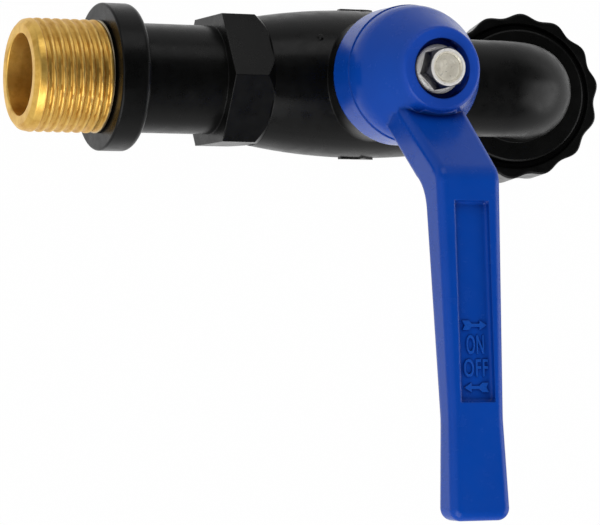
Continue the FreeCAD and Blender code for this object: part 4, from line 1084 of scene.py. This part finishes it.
def mixed(tree, share, first, second):
    """Two shaders mixed: the first where the share is zero, the second where it is one."""
    node = tree.nodes.new("ShaderNodeMixShader")
    for socket, source in zip(node.inputs, (share, first, second)):
        tree.links.new(source, socket)
    return node.outputs[0]


def seen_white(tree):
    """One where the camera, or a glossy or clear surface, looks, and zero for other light."""
    ray = tree.nodes.new("ShaderNodeLightPath").outputs
    seen = math_node(tree, "MAXIMUM", ray["Is Camera Ray"], ray["Is Glossy Ray"])
    return math_node(tree, "MAXIMUM", seen, ray["Is Transmission Ray"])


def mirrored_floor(tree):
    """Strength of the white floor: one to the camera, and less in glossy surfaces further away."""
    away = tree.nodes.new("ShaderNodeVectorMath")
    away.operation = "DISTANCE"
    tree.links.new(tree.nodes.new("ShaderNodeTexCoord").outputs["Object"], away.inputs[0])
    away.inputs[1].default_value = UNDER_TAP * MM
    fall = spread(tree, away.outputs["Value"], 1.0, FLOOR_DIM, FLOOR_NEAR * MM, FLOOR_FAR * MM,
                  smooth_step=True)
    mix = tree.nodes.new("ShaderNodeMix")
    tree.links.new(tree.nodes.new("ShaderNodeLightPath").outputs["Is Glossy Ray"], mix.inputs["Factor"])
    mix.inputs["A"].default_value = 1.0
    tree.links.new(fall, mix.inputs["B"])
    return mix.outputs["Result"]


def floor():
    """A pale floor that keeps a faint shadow."""
    low = min(CAD_BOX[0].z, CAD_BOX[1].z) - FLOOR_DROP * MM
    half = 4000.0 * MM
    whiteness = 0.98
    corners = [(-half, -half, low), (half, -half, low), (half, half, low), (-half, half, low)]
    piece = make_object("Floor", corners, [(0, 1, 2, 3)])
    material = bpy.data.materials.new("Floor")
    material.use_nodes = True
    tree = material.node_tree
    surface = tree.nodes["Principled BSDF"]
    surface.inputs["Base Color"].default_value = (0.86, 0.86, 0.86, 1)
    surface.inputs["Roughness"].default_value = 0.9
    glow = tree.nodes.new("ShaderNodeEmission")
    glow.inputs["Color"].default_value = (1, 1, 1, 1)
    tree.links.new(mirrored_floor(tree), glow.inputs["Strength"])
    share = math_node(tree, "MULTIPLY", seen_white(tree), whiteness)
    shown = mixed(tree, share, surface.outputs[0], glow.outputs[0])
    tree.links.new(shown, tree.nodes["Material Output"].inputs["Surface"])
    piece.data.materials.append(material)


def lobe(tree, direction, centre, edge, middle, strength):
    """Light from round a direction: full within the angle middle, none past the angle edge."""
    along = tree.nodes.new("ShaderNodeVectorMath")
    along.operation = "DOT_PRODUCT"
    tree.links.new(direction, along.inputs[0])
    along.inputs[1].default_value = Vector(centre).normalized()
    start = math.cos(math.radians(edge))
    end = math.cos(math.radians(middle))
    return spread(tree, along.outputs["Value"], 0.0, strength, start, end, smooth_step=True)


def studio_world():
    """A studio that is white behind the tap, with soft light from the sides and a dim front."""
    world = bpy.data.worlds.new("Studio")
    world.use_nodes = True
    bpy.context.scene.world = world
    tree = world.node_tree
    direction = tree.nodes.new("ShaderNodeTexCoord").outputs["Generated"]
    lit = tree.nodes["Background"]
    shown = tree.nodes.new("ShaderNodeBackground")
    room = tree.nodes.new("ShaderNodeBackground")
    for light in (lit, shown, room):
        light.inputs["Color"].default_value = (1, 1, 1, 1)
    split = tree.nodes.new("ShaderNodeSeparateXYZ")
    tree.links.new(direction, split.inputs[0])
    by_height = spread(tree, split.outputs["Z"], LOW_LIGHT, SKY_LIGHT, 0.0, SKY_FROM)
    tree.links.new(by_height, lit.inputs["Strength"])
    shown.inputs["Strength"].default_value = 1.0
    parts = [lobe(tree, direction, *light) for light in ROOM]
    total = parts[0]
    for part in parts[1:]:
        total = math_node(tree, "ADD", total, part)
    tree.links.new(total, room.inputs["Strength"])
    ray = tree.nodes.new("ShaderNodeLightPath").outputs
    mirrored = mixed(tree, ray["Is Glossy Ray"], lit.outputs[0], room.outputs[0])
    clear = math_node(tree, "MAXIMUM", ray["Is Camera Ray"], ray["Is Transmission Ray"])
    seen = mixed(tree, clear, mirrored, shown.outputs[0])
    tree.links.new(seen, tree.nodes["World Output"].inputs["Surface"])


def soft_light(name, spot_mm, target_mm, size_mm, power):
    """A soft rectangular lamp aimed at a point."""
    data = bpy.data.lights.new(name, "AREA")
    data.shape = "RECTANGLE"
    data.size = size_mm[0] * MM
    data.size_y = size_mm[1] * MM
    data.energy = power
    lamp = bpy.data.objects.new(name, data)
    bpy.context.scene.collection.objects.link(lamp)
    spot = Vector(spot_mm) * MM
    aim = Vector(target_mm) * MM - spot
    lamp.matrix_world = Matrix.Translation(spot) @ aim.to_track_quat("-Z", "Y").to_matrix().to_4x4()


# The scene

bpy.context.scene.view_settings.view_transform = "Standard"
camera()
studio_world()
TAP_MIDDLE = (60, 0, 0)
soft_light("Key", (-200, -520, 420), TAP_MIDDLE, (600, 600), 3.2)
soft_light("Fill", (560, -100, 220), TAP_MIDDLE, (450, 450), 1.2)
soft_light("Top", (0, 500, 360), TAP_MIDDLE, (600, 300), 0.9)
floor()
keep_cad_nodes()
brass_inlet()
inlet_connector()
valve_body()
union_nut()
hose_tail()
lever_handle()
lever_signs()
handle_screw()

bpy.context.view_layer.update()
